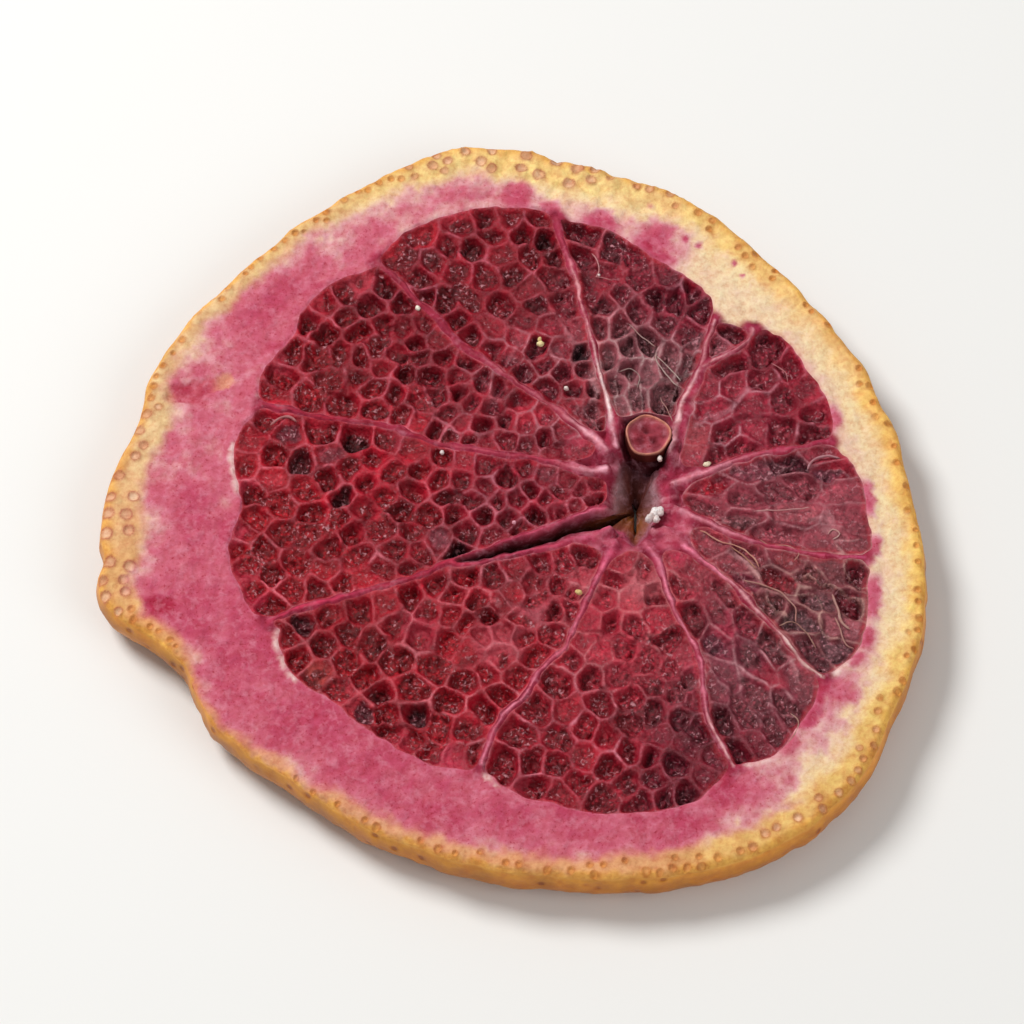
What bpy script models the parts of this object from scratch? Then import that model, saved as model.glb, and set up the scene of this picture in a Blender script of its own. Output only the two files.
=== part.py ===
"""A freeze-dried slice of blood orange, 72 mm across, as one solid.

The slice lies flat with its cut face up. Rind, pith, the membranes between the segments and the
core are one web; each segment between them is a field of open juice cells. The core is split by
an open funnel with a crack running off it, and a cut pip is fused in beside it.
Lengths are millimetres here and become metres when the mesh is made.
"""

import math

import bpy
import numpy as np
from mathutils import Vector, geometry

MM = 0.001
SEED = 11

THICKNESS = 5.6
RIM_SAMPLES = 112
RIM_BULGE = 0.25
RIM_ROUGHNESS = 0.16
SKIN_UNDERCUT = 1.7
PEEL_BAND = 1.7

CORE = (10.8, 0.4)
MEMBRANE_HALF_WIDTH = 0.26
MEMBRANE_FLARE = 0.34
MEMBRANE_RISE = 0.3

CELL_SINK = 0.35
CELL_WALL = 0.34
CELL_DEPTH = (0.75, 1.35)
SHALLOW_DEPTH = 0.3
SHALLOW_SHARE = 0.1
CELL_CROWDING = 0.79
UNDERSIDE_PITCH = 1.5
SHORT_EDGE = 0.3

GLAND_PITCH = 4.0
GLAND_RADIUS = 0.6
GLAND_DEPTH = 0.5

PIP_CENTRE = (12.05, 6.45)
PIP_RADIUS = 1.9
PIP_RISE = 0.45

RIM = [
    (35.4, 0.0), (34.6, 4.0), (33.4, 8.3), (30.3, 15.2), (25.6, 21.4), (20.3, 27.2),
    (15.3, 31.2), (10.2, 33.4), (5.0, 35.0), (0.0, 36.2), (-5.0, 36.2), (-9.8, 34.4),
    (-15.0, 31.1), (-20.0, 27.4), (-25.2, 22.3), (-29.5, 17.3), (-32.1, 12.5),
    (-32.9, 8.6), (-34.1, 5.4), (-35.6, 0.6), (-35.9, -3.0), (-35.5, -5.3), (-36.0, -7.8),
    (-34.8, -10.8), (-31.6, -13.2), (-28.8, -15.4), (-27.4, -18.6), (-24.9, -22.6),
    (-20.0, -26.3), (-15.4, -29.7), (-10.4, -32.6), (-5.0, -34.6), (0.0, -35.8),
    (6.0, -36.4), (12.0, -36.3), (18.0, -35.2), (23.3, -33.0), (27.4, -29.8),
    (30.6, -25.9), (33.4, -19.3), (35.1, -15.0), (36.1, -10.0), (36.0, -5.0),
]

# Each membrane runs outwards from the core. They are numbered anticlockwise.
MEMBRANES = {
    "east": [(14.2, 1.7), (16.5, 2.5), (20.0, 4.0), (24.0, 5.0), (28.0, 5.9)],
    "spur": [(17.0, 13.3), (18.3, 14.2), (20.2, 15.2), (21.1, 16.2), (21.4, 17.3)],
    "north_east": [(14.0, 4.9), (14.6, 7.5), (15.3, 10.0), (16.6, 13.2), (17.3, 15.5), (18.1, 18.0)],
    "north": [(9.2, 5.3), (8.6, 8.0), (8.3, 11.0), (7.6, 14.0), (6.9, 17.0), (6.2, 20.5), (5.2, 24.5), (4.1, 28.7)],
    "north_west": [(8.3, 5.0), (6.6, 6.6), (4.5, 8.6), (1.5, 11.0), (-2.0, 13.6), (-4.6, 15.7), (-6.3, 18.0),
                   (-8.6, 20.4), (-10.6, 22.7), (-12.0, 24.3)],
    "west": [(8.3, 3.2), (6.0, 2.9), (3.0, 3.9), (0.0, 4.3), (-3.0, 4.9), (-6.0, 5.5), (-9.6, 7.0), (-12.0, 7.6),
             (-15.0, 8.1), (-18.0, 8.6), (-22.0, 9.6)],
    "crack_lip": [(8.0, -0.9), (5.5, -1.8), (3.0, -2.8), (0.0, -3.9), (-3.0, -5.2), (-6.0, -6.4), (-8.0, -7.5),
                  (-10.5, -8.3), (-13.0, -8.8), (-16.0, -9.8), (-18.5, -10.6), (-21.0, -11.9)],
    "south_west": [(8.4, -2.9), (5.5, -3.9), (2.0, -4.9), (-0.2, -5.6), (-3.0, -6.3), (-6.0, -6.5), (-8.0, -7.6),
                   (-10.5, -8.4), (-13.0, -8.9), (-16.0, -9.9), (-18.5, -10.7), (-21.0, -12.0)],
    "south": [(8.9, -4.2), (8.2, -6.0), (7.4, -8.0), (6.2, -10.5), (5.3, -13.0), (4.4, -14.8), (2.6, -16.6),
              (1.2, -19.0), (-0.4, -20.6), (-1.5, -22.6), (-2.6, -25.7)],
    "south_east": [(11.9, -4.4), (12.9, -6.5), (13.6, -9.0), (14.4, -11.3), (16.2, -15.2), (16.5, -18.0),
                   (17.0, -20.7), (18.0, -23.8), (19.0, -25.9)],
    "east_south": [(13.4, -3.1), (15.2, -4.6), (17.5, -6.6), (19.5, -8.6), (21.3, -10.9), (23.0, -12.8),
                   (24.8, -15.2), (26.8, -17.3)],
    "east_low": [(15.0, -1.1), (17.5, -2.4), (19.5, -3.4), (22.0, -4.3), (25.0, -5.0), (28.0, -5.5), (30.8, -5.6)],
}

# A segment lies between two membranes: (its clockwise one, its anticlockwise one, its tip by the
# core, its rounded outer end, cell pitch by the core and by the rim, and how long its cells are).
SEGMENTS = [
    ("east", "spur", [(15.0, 4.9), (14.9, 3.4)],
     [(28.5, 6.6), (28.1, 9.5), (27.1, 12.0), (25.7, 14.6), (24.0, 16.5), (22.4, 17.4), (21.8, 16.9)],
     2.3, 3.0, 1.3),
    ("spur", "north_east", [(17.6, 14.0)], [(20.7, 17.1), (19.7, 17.9), (18.8, 17.6)], 2.2, 2.4, 1.0),
    ("north_east", "north", [(9.1, 8.5), (10.1, 8.2), (12.0, 8.9), (13.8, 8.3), (14.5, 8.2)],
     [(18.2, 19.0), (18.0, 20.4), (16.5, 22.1), (14.5, 23.6), (13.0, 24.7), (11.3, 26.0), (9.0, 27.4),
      (6.5, 28.4), (4.9, 28.7)],
     2.0, 2.9, 1.3),
    ("north", "north_west", [(8.1, 6.6)],
     [(3.3, 29.5), (1.0, 29.9), (-2.0, 30.1), (-4.0, 29.6), (-6.0, 28.9), (-8.5, 28.1), (-10.5, 26.3),
      (-11.7, 24.9)],
     1.7, 2.4, 1.1),
    ("north_west", "west", [(7.2, 4.5)],
     [(-12.4, 23.2), (-14.2, 22.8), (-16.4, 21.9), (-18.0, 20.0), (-19.3, 17.9), (-19.3, 16.6), (-20.6, 15.1),
      (-22.1, 13.0), (-22.5, 11.4), (-22.0, 10.3)],
     1.7, 2.3, 1.0),
    ("west", "crack_lip", [(8.3, -0.2), (8.5, 1.0), (8.0, 2.2)],
     [(-22.4, 9.0), (-23.8, 7.5), (-24.6, 5.0), (-24.4, 2.5), (-23.5, 0.0), (-24.2, -2.2), (-24.9, -4.2),
      (-24.5, -6.3), (-23.7, -8.6), (-22.7, -10.9), (-21.8, -11.4)],
     1.7, 2.4, 1.0),
    ("south_west", "south", [(7.6, -4.6)],
     [(-20.0, -12.4), (-20.2, -13.8), (-19.6, -16.0), (-18.2, -18.0), (-16.0, -19.3), (-14.0, -20.9),
      (-12.0, -22.9), (-9.0, -24.6), (-6.9, -25.7), (-4.0, -26.3)],
     1.7, 2.4, 1.0),
    ("south", "south_east", [(11.4, -5.0), (9.9, -4.8)],
     [(-2.2, -26.6), (-1.0, -27.6), (1.0, -28.7), (3.5, -29.5), (6.0, -30.1), (9.0, -30.5), (12.0, -30.2),
      (15.0, -29.5), (17.0, -28.3), (18.2, -26.7)],
     1.9, 2.6, 1.1),
    ("south_east", "east_south", [(13.3, -5.0)],
     [(19.8, -25.6), (20.7, -25.7), (22.1, -25.1), (23.4, -24.2), (24.6, -22.1), (25.8, -20.8), (26.5, -18.6)],
     2.0, 2.8, 1.8),
    ("east_south", "east_low", [(15.4, -3.0)],
     [(27.7, -16.9), (28.9, -16.2), (30.3, -14.4), (31.2, -11.0), (31.0, -8.5), (31.3, -6.6)],
     2.1, 2.8, 1.7),
    ("east_low", "east", [(15.2, 1.0), (15.1, 0.0)],
     [(31.6, -4.6), (31.5, -3.0), (31.1, -1.0), (31.0, 1.0), (30.5, 3.0), (29.3, 4.7), (28.7, 5.3)],
     2.3, 2.8, 1.5),
]

# The opening at the core with the crack that runs west from it, anticlockwise: each point on the
# top face, then how far it moves in towards the middle of the opening by the underside.
VOID = [
    (10.0, 4.4, 0.5), (9.5, 3.0, 0.7), (9.1, 1.0, 0.8), (8.9, -0.7, 0.7), (7.0, -1.5, 0.2), (4.5, -2.5, 0.2),
    (2.0, -3.5, 0.15), (0.0, -4.3, 0.12), (-2.5, -5.2, 0.06), (-4.6, -6.0, 0.0), (-2.4, -5.6, 0.06),
    (0.0, -5.0, 0.12), (2.0, -4.4, 0.15), (4.5, -3.5, 0.2), (7.0, -2.6, 0.2), (9.0, -2.3, 0.3),
    (10.0, -2.9, 0.4), (10.9, -4.0, 0.5), (11.5, -3.0, 0.4), (12.2, -1.4, 0.5), (12.7, 0.4, 0.7),
    (12.5, 2.2, 0.7), (12.7, 3.7, 0.5), (11.6, 4.2, 0.4),
]


def resampled(points, spacing, closed):
    """The same path with its points at an even spacing."""
    path = np.array(points + points[:1] if closed else points, float)
    along = np.concatenate([[0.0], np.cumsum(np.hypot(*np.diff(path, axis=0).T))])
    count = max(2, round(along[-1] / spacing)) + 1
    stations = np.linspace(0.0, along[-1], count)
    if closed:
        stations = stations[:-1]
    x = np.interp(stations, along, path[:, 0])
    y = np.interp(stations, along, path[:, 1])
    return [(float(a), float(b)) for a, b in zip(x, y)]


def smooth_path(points, spacing, closed):
    """A Catmull-Rom curve through the points, at an even spacing."""
    count = len(points)
    dense = []
    for i in range(count if closed else count - 1):
        if closed:
            ring = [points[(i + k) % count] for k in (-1, 0, 1, 2)]
        else:
            ring = [points[min(max(i + k, 0), count - 1)] for k in (-1, 0, 1, 2)]
        a, b, c, d = (np.array(p, float) for p in ring)
        for t in np.arange(0.0, 1.0, 0.125):
            bend = 2 * b + (c - a) * t + (2 * a - 5 * b + 4 * c - d) * t**2 + (3 * b - a - 3 * c + d) * t**3
            dense.append(tuple(0.5 * bend))
    if not closed:
        dense.append(points[-1])
    return resampled(dense, spacing, closed)


def corners_cut(points):
    """One round of corner cutting on a closed path."""
    cut = []
    for (ax, ay), (bx, by) in zip(points, points[1:] + points[:1]):
        cut.append((0.75 * ax + 0.25 * bx, 0.75 * ay + 0.25 * by))
        cut.append((0.25 * ax + 0.75 * bx, 0.25 * ay + 0.75 * by))
    return cut


def core_distance(point):
    return math.hypot(point[0] - CORE[0], point[1] - CORE[1])


def membrane_half_width(point):
    """A membrane is thin along its run and thickens into the core."""
    return MEMBRANE_HALF_WIDTH + MEMBRANE_FLARE * math.exp(-max(core_distance(point) - 4.0, 0.0) / 3.0)


def membrane_side(name, side, start):
    """One side of a membrane (1 for its left, looking outwards), from the distance start from the core."""
    path = np.array(smooth_path(MEMBRANES[name], 0.9, closed=False))
    run = np.gradient(path, axis=0)
    run /= np.hypot(*run.T)[:, None]
    shifted = []
    for (x, y), (dx, dy) in zip(path, run):
        width = membrane_half_width((x, y)) * side
        moved = (x - dy * width, y + dx * width)
        if core_distance(moved) > start:
            shifted.append(moved)
    return shifted


def segment_loop(clockwise, anticlockwise, tip, lobe, spacing):
    """The outline of a segment, anticlockwise: up one membrane, round its outer end and back down the next."""
    start = max(core_distance(point) for point in tip) + 0.5
    up = membrane_side(clockwise, 1, start)
    down = membrane_side(anticlockwise, -1, start)
    return resampled(corners_cut(up + lobe + down[::-1] + tip), spacing, closed=True)


def inside(loop, points):
    """Which points lie inside a closed path."""
    points = np.asarray(points, float)
    found = np.zeros(len(points), bool)
    for (ax, ay), (bx, by) in zip(loop, loop[1:] + loop[:1]):
        if ay == by:
            continue
        crosses = (ay > points[:, 1]) != (by > points[:, 1])
        found ^= crosses & (points[:, 0] < (bx - ax) * (points[:, 1] - ay) / (by - ay) + ax)
    return found


def clearance(loop, points):
    """How far each point is from a closed path."""
    points = np.asarray(points, float)
    nearest = np.full(len(points), np.inf)
    for a, b in zip(loop, loop[1:] + loop[:1]):
        a, b = np.array(a), np.array(b)
        span = b - a
        t = np.clip((points - a) @ span / max(span @ span, 1e-12), 0.0, 1.0)
        nearest = np.minimum(nearest, np.hypot(*(points - a - t[:, None] * span).T))
    return nearest


def clipped(polygon, point, normal):
    """The part of a polygon behind the line through the point, square to the normal."""
    depths = [(x - point[0]) * normal[0] + (y - point[1]) * normal[1] for x, y in polygon]
    kept = []
    for i, here in enumerate(polygon):
        after = (i + 1) % len(polygon)
        if depths[i] <= 0:
            kept.append(here)
        if depths[i] * depths[after] < 0:
            t = depths[i] / (depths[i] - depths[after])
            kept.append((here[0] + t * (polygon[after][0] - here[0]), here[1] + t * (polygon[after][1] - here[1])))
    return kept


def centroid(polygon):
    area = x = y = 0.0
    for (ax, ay), (bx, by) in zip(polygon, polygon[1:] + polygon[:1]):
        cross = ax * by - bx * ay
        area += cross
        x += (ax + bx) * cross
        y += (ay + by) * cross
    return (x / (3 * area), y / (3 * area))


def territories(loop, centres):
    """The share of the loop that is nearest to each centre."""
    places = np.array(centres)
    shares = []
    for i, (x, y) in enumerate(centres):
        share = loop
        away = np.hypot(places[:, 0] - x, places[:, 1] - y)
        for j in np.argsort(away)[1:17]:
            toward = (places[j, 0] - x, places[j, 1] - y)
            middle = (x + toward[0] / 2, y + toward[1] / 2)
            share = clipped(share, middle, toward)
        shares.append(share)
    return shares


def squeezer(axis, factor):
    """A function that scales points along an axis."""
    matrix = np.eye(2) + (factor - 1.0) * np.outer(axis, axis)
    return lambda points: [(float(a), float(b)) for a, b in np.asarray(points) @ matrix]


def juice_cells(loop, pitch_in, pitch_out, length, rng):
    """The cell outlines that fill a segment, longer than wide along it by the given ratio."""
    middle = np.mean(loop, axis=0)
    axis = (middle - CORE) / core_distance(middle)
    squeeze = squeezer(axis, 1.0 / length)
    stretch = squeezer(axis, length)
    ground = squeeze(loop)
    low, high = np.min(ground, axis=0), np.max(ground, axis=0)
    darts = rng.uniform(low, high, (5000, 2))
    reach = np.hypot(*(np.array(stretch(darts)) - CORE).T)
    pitches = (pitch_in + (pitch_out - pitch_in) * np.clip((reach - 5.0) / 20.0, 0.0, 1.0)) / math.sqrt(length)
    usable = inside(ground, darts) & (clearance(ground, darts) > 0.33 * pitches)
    centres = []
    for dart, pitch in zip(darts[usable], pitches[usable]):
        if all(math.hypot(dart[0] - x, dart[1] - y) > CELL_CROWDING * pitch for x, y in centres):
            centres.append((float(dart[0]), float(dart[1])))
    for _ in range(2):
        centres = [centroid(share) for share in territories(ground, centres)]
    return [stretch(share) for share in territories(ground, centres)]


def welded(cells, reach):
    """The cells with corners closer than reach made one, so that no wall is left as a sliver."""
    corners = []
    merged = []
    for cell in cells:
        path = []
        for x, y in cell:
            near = [k for k, (a, b) in enumerate(corners) if math.hypot(a - x, b - y) < reach]
            if near:
                index = near[0]
            else:
                index = len(corners)
                corners.append((x, y))
            if index not in path:
                path.append(index)
        if len(path) > 2:
            merged.append([corners[k] for k in path])
    return merged


def floor_loop(cell, wall):
    """The outline of a cell's floor: its own outline drawn in by the thickness of its wall."""
    centre = np.array(centroid(cell))
    path = np.array(cell)
    span = np.roll(path, -1, axis=0) - path
    normals = np.stack([span[:, 1], -span[:, 0]], axis=1) / np.hypot(*span.T)[:, None]
    heights = np.maximum(((path - centre) * normals).sum(axis=1), 0.2)
    wall = min(wall, 0.45 * heights.min())
    drawn = []
    for corner in path:
        ray = corner - centre
        facing = normals @ ray
        share = ((heights - wall)[facing > 1e-9] / facing[facing > 1e-9]).min()
        drawn.append(tuple(centre + ray * min(share, 0.92)))
    return drawn


def swell(x, y):
    """The gentle warp that a slice takes on as it dries."""
    return 0.16 * math.sin(x / 11.0 + 0.6) * math.cos(y / 13.0) + 0.1 * math.sin(y / 8.0 - x / 17.0)


def face_level(x, y):
    """The height of the pith on the cut face: it dips into the core."""
    return THICKNESS - 0.3 + swell(x, y) - 0.9 * math.exp(-core_distance((x, y)) / 3.2)


class Sheet:
    """One face of the slice: points with heights, and the edges that its triangles keep."""

    def __init__(self):
        self.points = []
        self.heights = []
        self.edges = []
        self.known = {}

    def add(self, x, y, z):
        key = (round(x, 4), round(y, 4))
        if key not in self.known:
            self.known[key] = len(self.points)
            self.points.append((x, y))
            self.heights.append(z)
        return self.known[key]

    def path(self, points, height, closed):
        """Adds a path at a height, which is a function of the place, and returns its points' numbers."""
        numbers = [self.add(x, y, height(x, y)) for x, y in points]
        self.edges += list(zip(numbers, numbers[1:]))
        if closed:
            self.edges.append((numbers[-1], numbers[0]))
        return numbers

    def triangles(self, rim, void):
        """The triangles between the rim and the opening, anticlockwise from above."""
        found = geometry.delaunay_2d_cdt([Vector(p) for p in self.points], self.edges, [], 0, 1e-5, True)
        places, faces, origins = found[0], found[2], found[3]
        first = [min(origin) if origin else None for origin in origins]
        kept = []
        centres = [sum((places[k] for k in face), Vector((0, 0))) / 3 for face in faces]
        wanted = inside(rim, centres) & ~inside(void, centres)
        for face, use in zip(faces, wanted):
            if not use:
                continue
            a, b, c = (places[k] for k in face)
            turned = (b - a).cross(c - a) < 0
            numbers = [self.number(first, places, k) for k in face]
            kept.append(numbers[::-1] if turned else numbers)
        return kept

    def number(self, first, places, k):
        """The number of a triangulated point. One that the triangulation made where two edges cross is added."""
        if first[k] is None:
            x, y = places[k]
            first[k] = self.add(x, y, face_level(x, y) - CELL_SINK)
        return first[k]


def scattered(rng, loops, outline, pitch, gap):
    """Points spread over the pith: inside the outline and clear of every loop."""
    low, high = np.min(outline, axis=0), np.max(outline, axis=0)
    darts = rng.uniform(low, high, (4000, 2))
    usable = inside(outline, darts) & (clearance(outline, darts) > gap)
    for loop in loops:
        usable &= ~inside(loop, darts) & (clearance(loop, darts) > gap)
    chosen = []
    for x, y in darts[usable]:
        if all(math.hypot(x - a, y - b) > pitch for a, b in chosen):
            chosen.append((float(x), float(y)))
    return chosen


def drawn_in(path, distance):
    """A closed path moved inwards, square to itself."""
    path = np.array(path)
    run = np.roll(path, -1, axis=0) - np.roll(path, 1, axis=0)
    run /= np.hypot(*run.T)[:, None]
    return [(float(x), float(y)) for x, y in path + distance * np.stack([-run[:, 1], run[:, 0]], axis=1)]


def ring(centre, radius, count, turn=0.0):
    angles = [turn + 2 * math.pi * k / count for k in range(count)]
    return [(centre[0] + radius * math.cos(a), centre[1] + radius * math.sin(a)) for a in angles]


def add_pip(sheet):
    """The cut pip: a raised ring with a hollow middle."""
    x, y = PIP_CENTRE
    level = face_level(x, y)
    sheet.path(ring(PIP_CENTRE, PIP_RADIUS, 14), lambda *_: level - 0.1, closed=True)
    sheet.path(ring(PIP_CENTRE, PIP_RADIUS - 0.25, 14), lambda *_: level + PIP_RISE, closed=True)
    sheet.path(ring(PIP_CENTRE, PIP_RADIUS - 0.55, 10), lambda *_: level - 0.05, closed=True)
    for side in (-0.55, 0.6):
        sheet.add(x + side, y - 0.2, level - 0.75)
    sheet.add(x, y + 0.5, level + 0.1)


def add_glands(sheet, rim, rng):
    """Oil glands cut open along the peel."""
    for x, y in smooth_path(drawn_in(rim, PEEL_BAND), GLAND_PITCH, closed=True):
        middle = (x + rng.uniform(-0.3, 0.3), y + rng.uniform(-0.3, 0.3))
        level = face_level(*middle)
        turn = rng.uniform(0.0, 1.0)
        sheet.path(ring(middle, GLAND_RADIUS, 5, turn), lambda *_, z=level: z, closed=True)
        sheet.add(*middle, level - GLAND_DEPTH)


def add_cut_face(sheet, rim, void):
    """The upper face: rim, peel, pith, membranes, cells and pip."""
    rng = np.random.default_rng(SEED)
    loops = []
    for clockwise, anticlockwise, tip, lobe, pitch_in, pitch_out, length in SEGMENTS:
        loop = segment_loop(clockwise, anticlockwise, tip, lobe, 1.15)
        loops.append(loop)
        for cell in welded(juice_cells(loop, pitch_in, pitch_out, length, rng), SHORT_EDGE):
            shallow = rng.uniform() < SHALLOW_SHARE
            depth = SHALLOW_DEPTH if shallow else rng.uniform(*CELL_DEPTH)
            middle = centroid(cell)
            floor = face_level(*middle) - CELL_SINK - depth
            sheet.path(cell, lambda x, y: face_level(x, y) - CELL_SINK, closed=True)
            sheet.path(floor_loop(cell, CELL_WALL), lambda *_, z=floor: z, closed=True)
    for name, points in MEMBRANES.items():
        if name != "crack_lip":
            path = smooth_path(points, 2.4, closed=False)
            sheet.path(path, lambda x, y: face_level(x, y) + MEMBRANE_RISE, closed=False)
    add_pip(sheet)
    peel = smooth_path(drawn_in(rim, 0.75), 2.6, closed=True)
    sheet.path(peel, lambda x, y: face_level(x, y) + 0.25, closed=True)
    add_glands(sheet, rim, rng)
    taken = loops + [void, ring(PIP_CENTRE, PIP_RADIUS, 14)]
    for x, y in scattered(rng, taken, drawn_in(rim, 2 * PEEL_BAND), 2.3, 0.5):
        sheet.add(x, y, face_level(x, y) + rng.uniform(-0.22, 0.16))
    rim_numbers = sheet.path(rim, lambda x, y: face_level(x, y) - 0.1, closed=True)
    void_numbers = sheet.path(void, lambda x, y: face_level(x, y) - 0.35, closed=True)
    return rim_numbers, void_numbers


def add_underside(sheet, rim, void):
    """The lower face: the pith flat on the table and the cells hollowed upwards."""
    rng = np.random.default_rng(SEED + 1)
    for clockwise, anticlockwise, tip, lobe, pitch_in, pitch_out, length in SEGMENTS:
        loop = segment_loop(clockwise, anticlockwise, tip, lobe, 2.0)
        cells = juice_cells(loop, pitch_in * UNDERSIDE_PITCH, pitch_out * UNDERSIDE_PITCH, length, rng)
        for cell in welded(cells, 2 * SHORT_EDGE):
            sheet.path(cell, lambda *_: 0.0, closed=True)
            sheet.add(*centroid(cell), rng.uniform(*CELL_DEPTH))
    rim_numbers = sheet.path(rim, lambda *_: 0.0, closed=True)
    void_numbers = sheet.path(void, lambda *_: 0.0, closed=True)
    return rim_numbers, void_numbers


def strip(upper, lower):
    """The wall between two closed rows of points, facing away from the right of their run."""
    faces = []
    for i in range(len(upper)):
        j = (i + 1) % len(upper)
        faces.append((upper[i], lower[i], lower[j]))
        faces.append((upper[i], lower[j], upper[j]))
    return faces


def rough_rim(rng):
    """The rim on the cut face, pebbled by the oil glands under the skin."""
    path = smooth_path(RIM, 2.05, closed=True)
    spacing = 2.05 * len(path) / RIM_SAMPLES
    path = smooth_path(RIM, spacing, closed=True)
    bumps = rng.uniform(-RIM_ROUGHNESS, RIM_ROUGHNESS, len(path))
    moved = drawn_in(path, 1.0)
    return [(x + (a - x) * bump, y + (b - y) * bump) for (x, y), (a, b), bump in zip(path, moved, bumps)]


def underside_void():
    """The opening on the lower face: each point moved in by its own amount."""
    points = [(x, y) for x, y, _ in VOID]
    inwards = np.array(drawn_in(points, 1.0)) - points
    return [(x + float(dx) * by, y + float(dy) * by) for (x, y, by), (dx, dy) in zip(VOID, inwards)]


def slice_mesh():
    """The whole slice as points and triangles, in millimetres."""
    rng = np.random.default_rng(SEED + 2)
    rim = rough_rim(rng)
    void = [(x, y) for x, y, _ in VOID]
    foot = drawn_in(rim, SKIN_UNDERCUT)
    low_void = underside_void()

    top = Sheet()
    top_rim, top_void = add_cut_face(top, rim, void)
    top_faces = top.triangles(rim, void)
    low = Sheet()
    low_rim, low_void_numbers = add_underside(low, foot, low_void)
    low_faces = low.triangles(foot, low_void)

    points = [(x, y, z) for (x, y), z in zip(top.points, top.heights)]
    base = len(points)
    points += [(x, y, z) for (x, y), z in zip(low.points, low.heights)]
    rows = [top_rim]
    for inset, height in ((-RIM_BULGE, 0.62 * THICKNESS), (0.35 * SKIN_UNDERCUT, 0.2 * THICKNESS)):
        start = len(points)
        for x, y in drawn_in(rim, inset):
            points.append((x, y, height + float(rng.uniform(-0.2, 0.2))))
        rows.append(list(range(start, len(points))))
    rows.append([k + base for k in low_rim])

    faces = list(top_faces)
    faces += [(a + base, c + base, b + base) for a, b, c in low_faces]
    for upper, lower in zip(rows, rows[1:]):
        faces += strip(upper, lower)
    faces += strip([k + base for k in low_void_numbers], top_void)
    return points, faces


def main():
    for thing in list(bpy.data.objects):
        bpy.data.objects.remove(thing, do_unlink=True)
    points, faces = slice_mesh()
    points = np.array(points)
    low, high = points.min(axis=0), points.max(axis=0)
    points -= ((low[0] + high[0]) / 2, (low[1] + high[1]) / 2, low[2])
    used = sorted({k for face in faces for k in face})
    renumber = {k: i for i, k in enumerate(used)}
    mesh = bpy.data.meshes.new("orange_slice")
    mesh.from_pydata((points[used] * MM).tolist(), [], [[renumber[k] for k in face] for face in faces])
    mesh.validate()
    slice_object = bpy.data.objects.new("orange_slice", mesh)
    bpy.context.scene.collection.objects.link(slice_object)

    flesh = bpy.data.materials.new("dried blood orange")
    flesh.use_nodes = True
    shader = flesh.node_tree.nodes["Principled BSDF"]
    shader.inputs["Base Color"].default_value = (0.32, 0.045, 0.07, 1.0)
    shader.inputs["Roughness"].default_value = 0.6
    shader.inputs["Metallic"].default_value = 0.0
    mesh.materials.append(flesh)


main()
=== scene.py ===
"""The freeze-dried blood orange slice, dressed: pith, peel, membranes, juice cells, pip and crumbs.

The plan of the slice is the CAD model's own: the same rim, membranes and segments, in
millimetres. The juice cells that fill the segments are finer here. Lengths become metres
when a mesh is made.
"""

import math
from functools import partial

import bpy
import numpy as np
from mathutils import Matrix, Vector, geometry, kdtree


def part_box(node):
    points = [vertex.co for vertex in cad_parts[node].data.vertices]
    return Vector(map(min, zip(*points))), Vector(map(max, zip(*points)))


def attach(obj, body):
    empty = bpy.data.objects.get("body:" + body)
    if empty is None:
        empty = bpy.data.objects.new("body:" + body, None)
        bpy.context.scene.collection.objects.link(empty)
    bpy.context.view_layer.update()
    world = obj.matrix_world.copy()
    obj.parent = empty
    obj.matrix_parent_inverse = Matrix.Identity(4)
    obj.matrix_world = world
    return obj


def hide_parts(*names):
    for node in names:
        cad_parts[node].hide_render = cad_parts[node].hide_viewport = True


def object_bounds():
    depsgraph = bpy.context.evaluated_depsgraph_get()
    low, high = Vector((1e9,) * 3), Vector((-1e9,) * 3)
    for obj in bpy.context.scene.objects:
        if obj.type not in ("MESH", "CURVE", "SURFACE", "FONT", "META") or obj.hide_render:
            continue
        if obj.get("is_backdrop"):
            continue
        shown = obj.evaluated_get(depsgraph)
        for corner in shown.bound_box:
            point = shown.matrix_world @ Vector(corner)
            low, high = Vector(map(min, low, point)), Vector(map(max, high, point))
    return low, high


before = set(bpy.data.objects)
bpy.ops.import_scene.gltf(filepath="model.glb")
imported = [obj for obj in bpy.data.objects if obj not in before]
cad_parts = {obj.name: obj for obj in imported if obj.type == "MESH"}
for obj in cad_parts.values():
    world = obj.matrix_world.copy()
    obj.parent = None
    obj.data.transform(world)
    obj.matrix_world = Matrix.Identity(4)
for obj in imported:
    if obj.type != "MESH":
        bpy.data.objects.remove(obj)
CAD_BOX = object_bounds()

MM = 0.001
CAD_TOP = float(CAD_BOX[1][2]) / MM
SEED = 11

THICKNESS = 5.6
RIM_SAMPLES = 112
RIM_BULGE = 0.25
RIM_ROUGHNESS = 0.16
SKIN_UNDERCUT = 1.7
RIND_GRAIN = 0.29
UNDERSIDE_GRAIN = 0.7
GRID_NUDGE = 0.22

CORE = (10.8, 0.4)
MEMBRANE_HALF_WIDTH = 0.26
MEMBRANE_FLARE = 0.34
MEMBRANE_RISE = 0.12

DARTS = 12000
CELL_SINK = 0.14
CELL_DEPTH = (0.4, 1.15)
LID_DEPTH = (0.08, 0.4)
CELL_CROWDING = 0.78
CELL_SPREAD = (0.65, 0.85, 1.0, 1.25)
CORNER_SHARPNESS = 5.0
NEAR_CELLS = 9

# The two faces of a segment: (whether it is the cut face, the spacing of its outline in the plan
# and then in the mesh, its cells' share of the CAD model's pitch, the grain of its points).
FACES = ((True, 1.15, 0.2, 1.3, 0.135), (False, 2.0, 0.4, 1.0, 0.4))

PIP_CENTRE = (12.05, 6.45)
PIP_RADIUS = 2.05
PIP_DEPTH = 1.6

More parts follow.
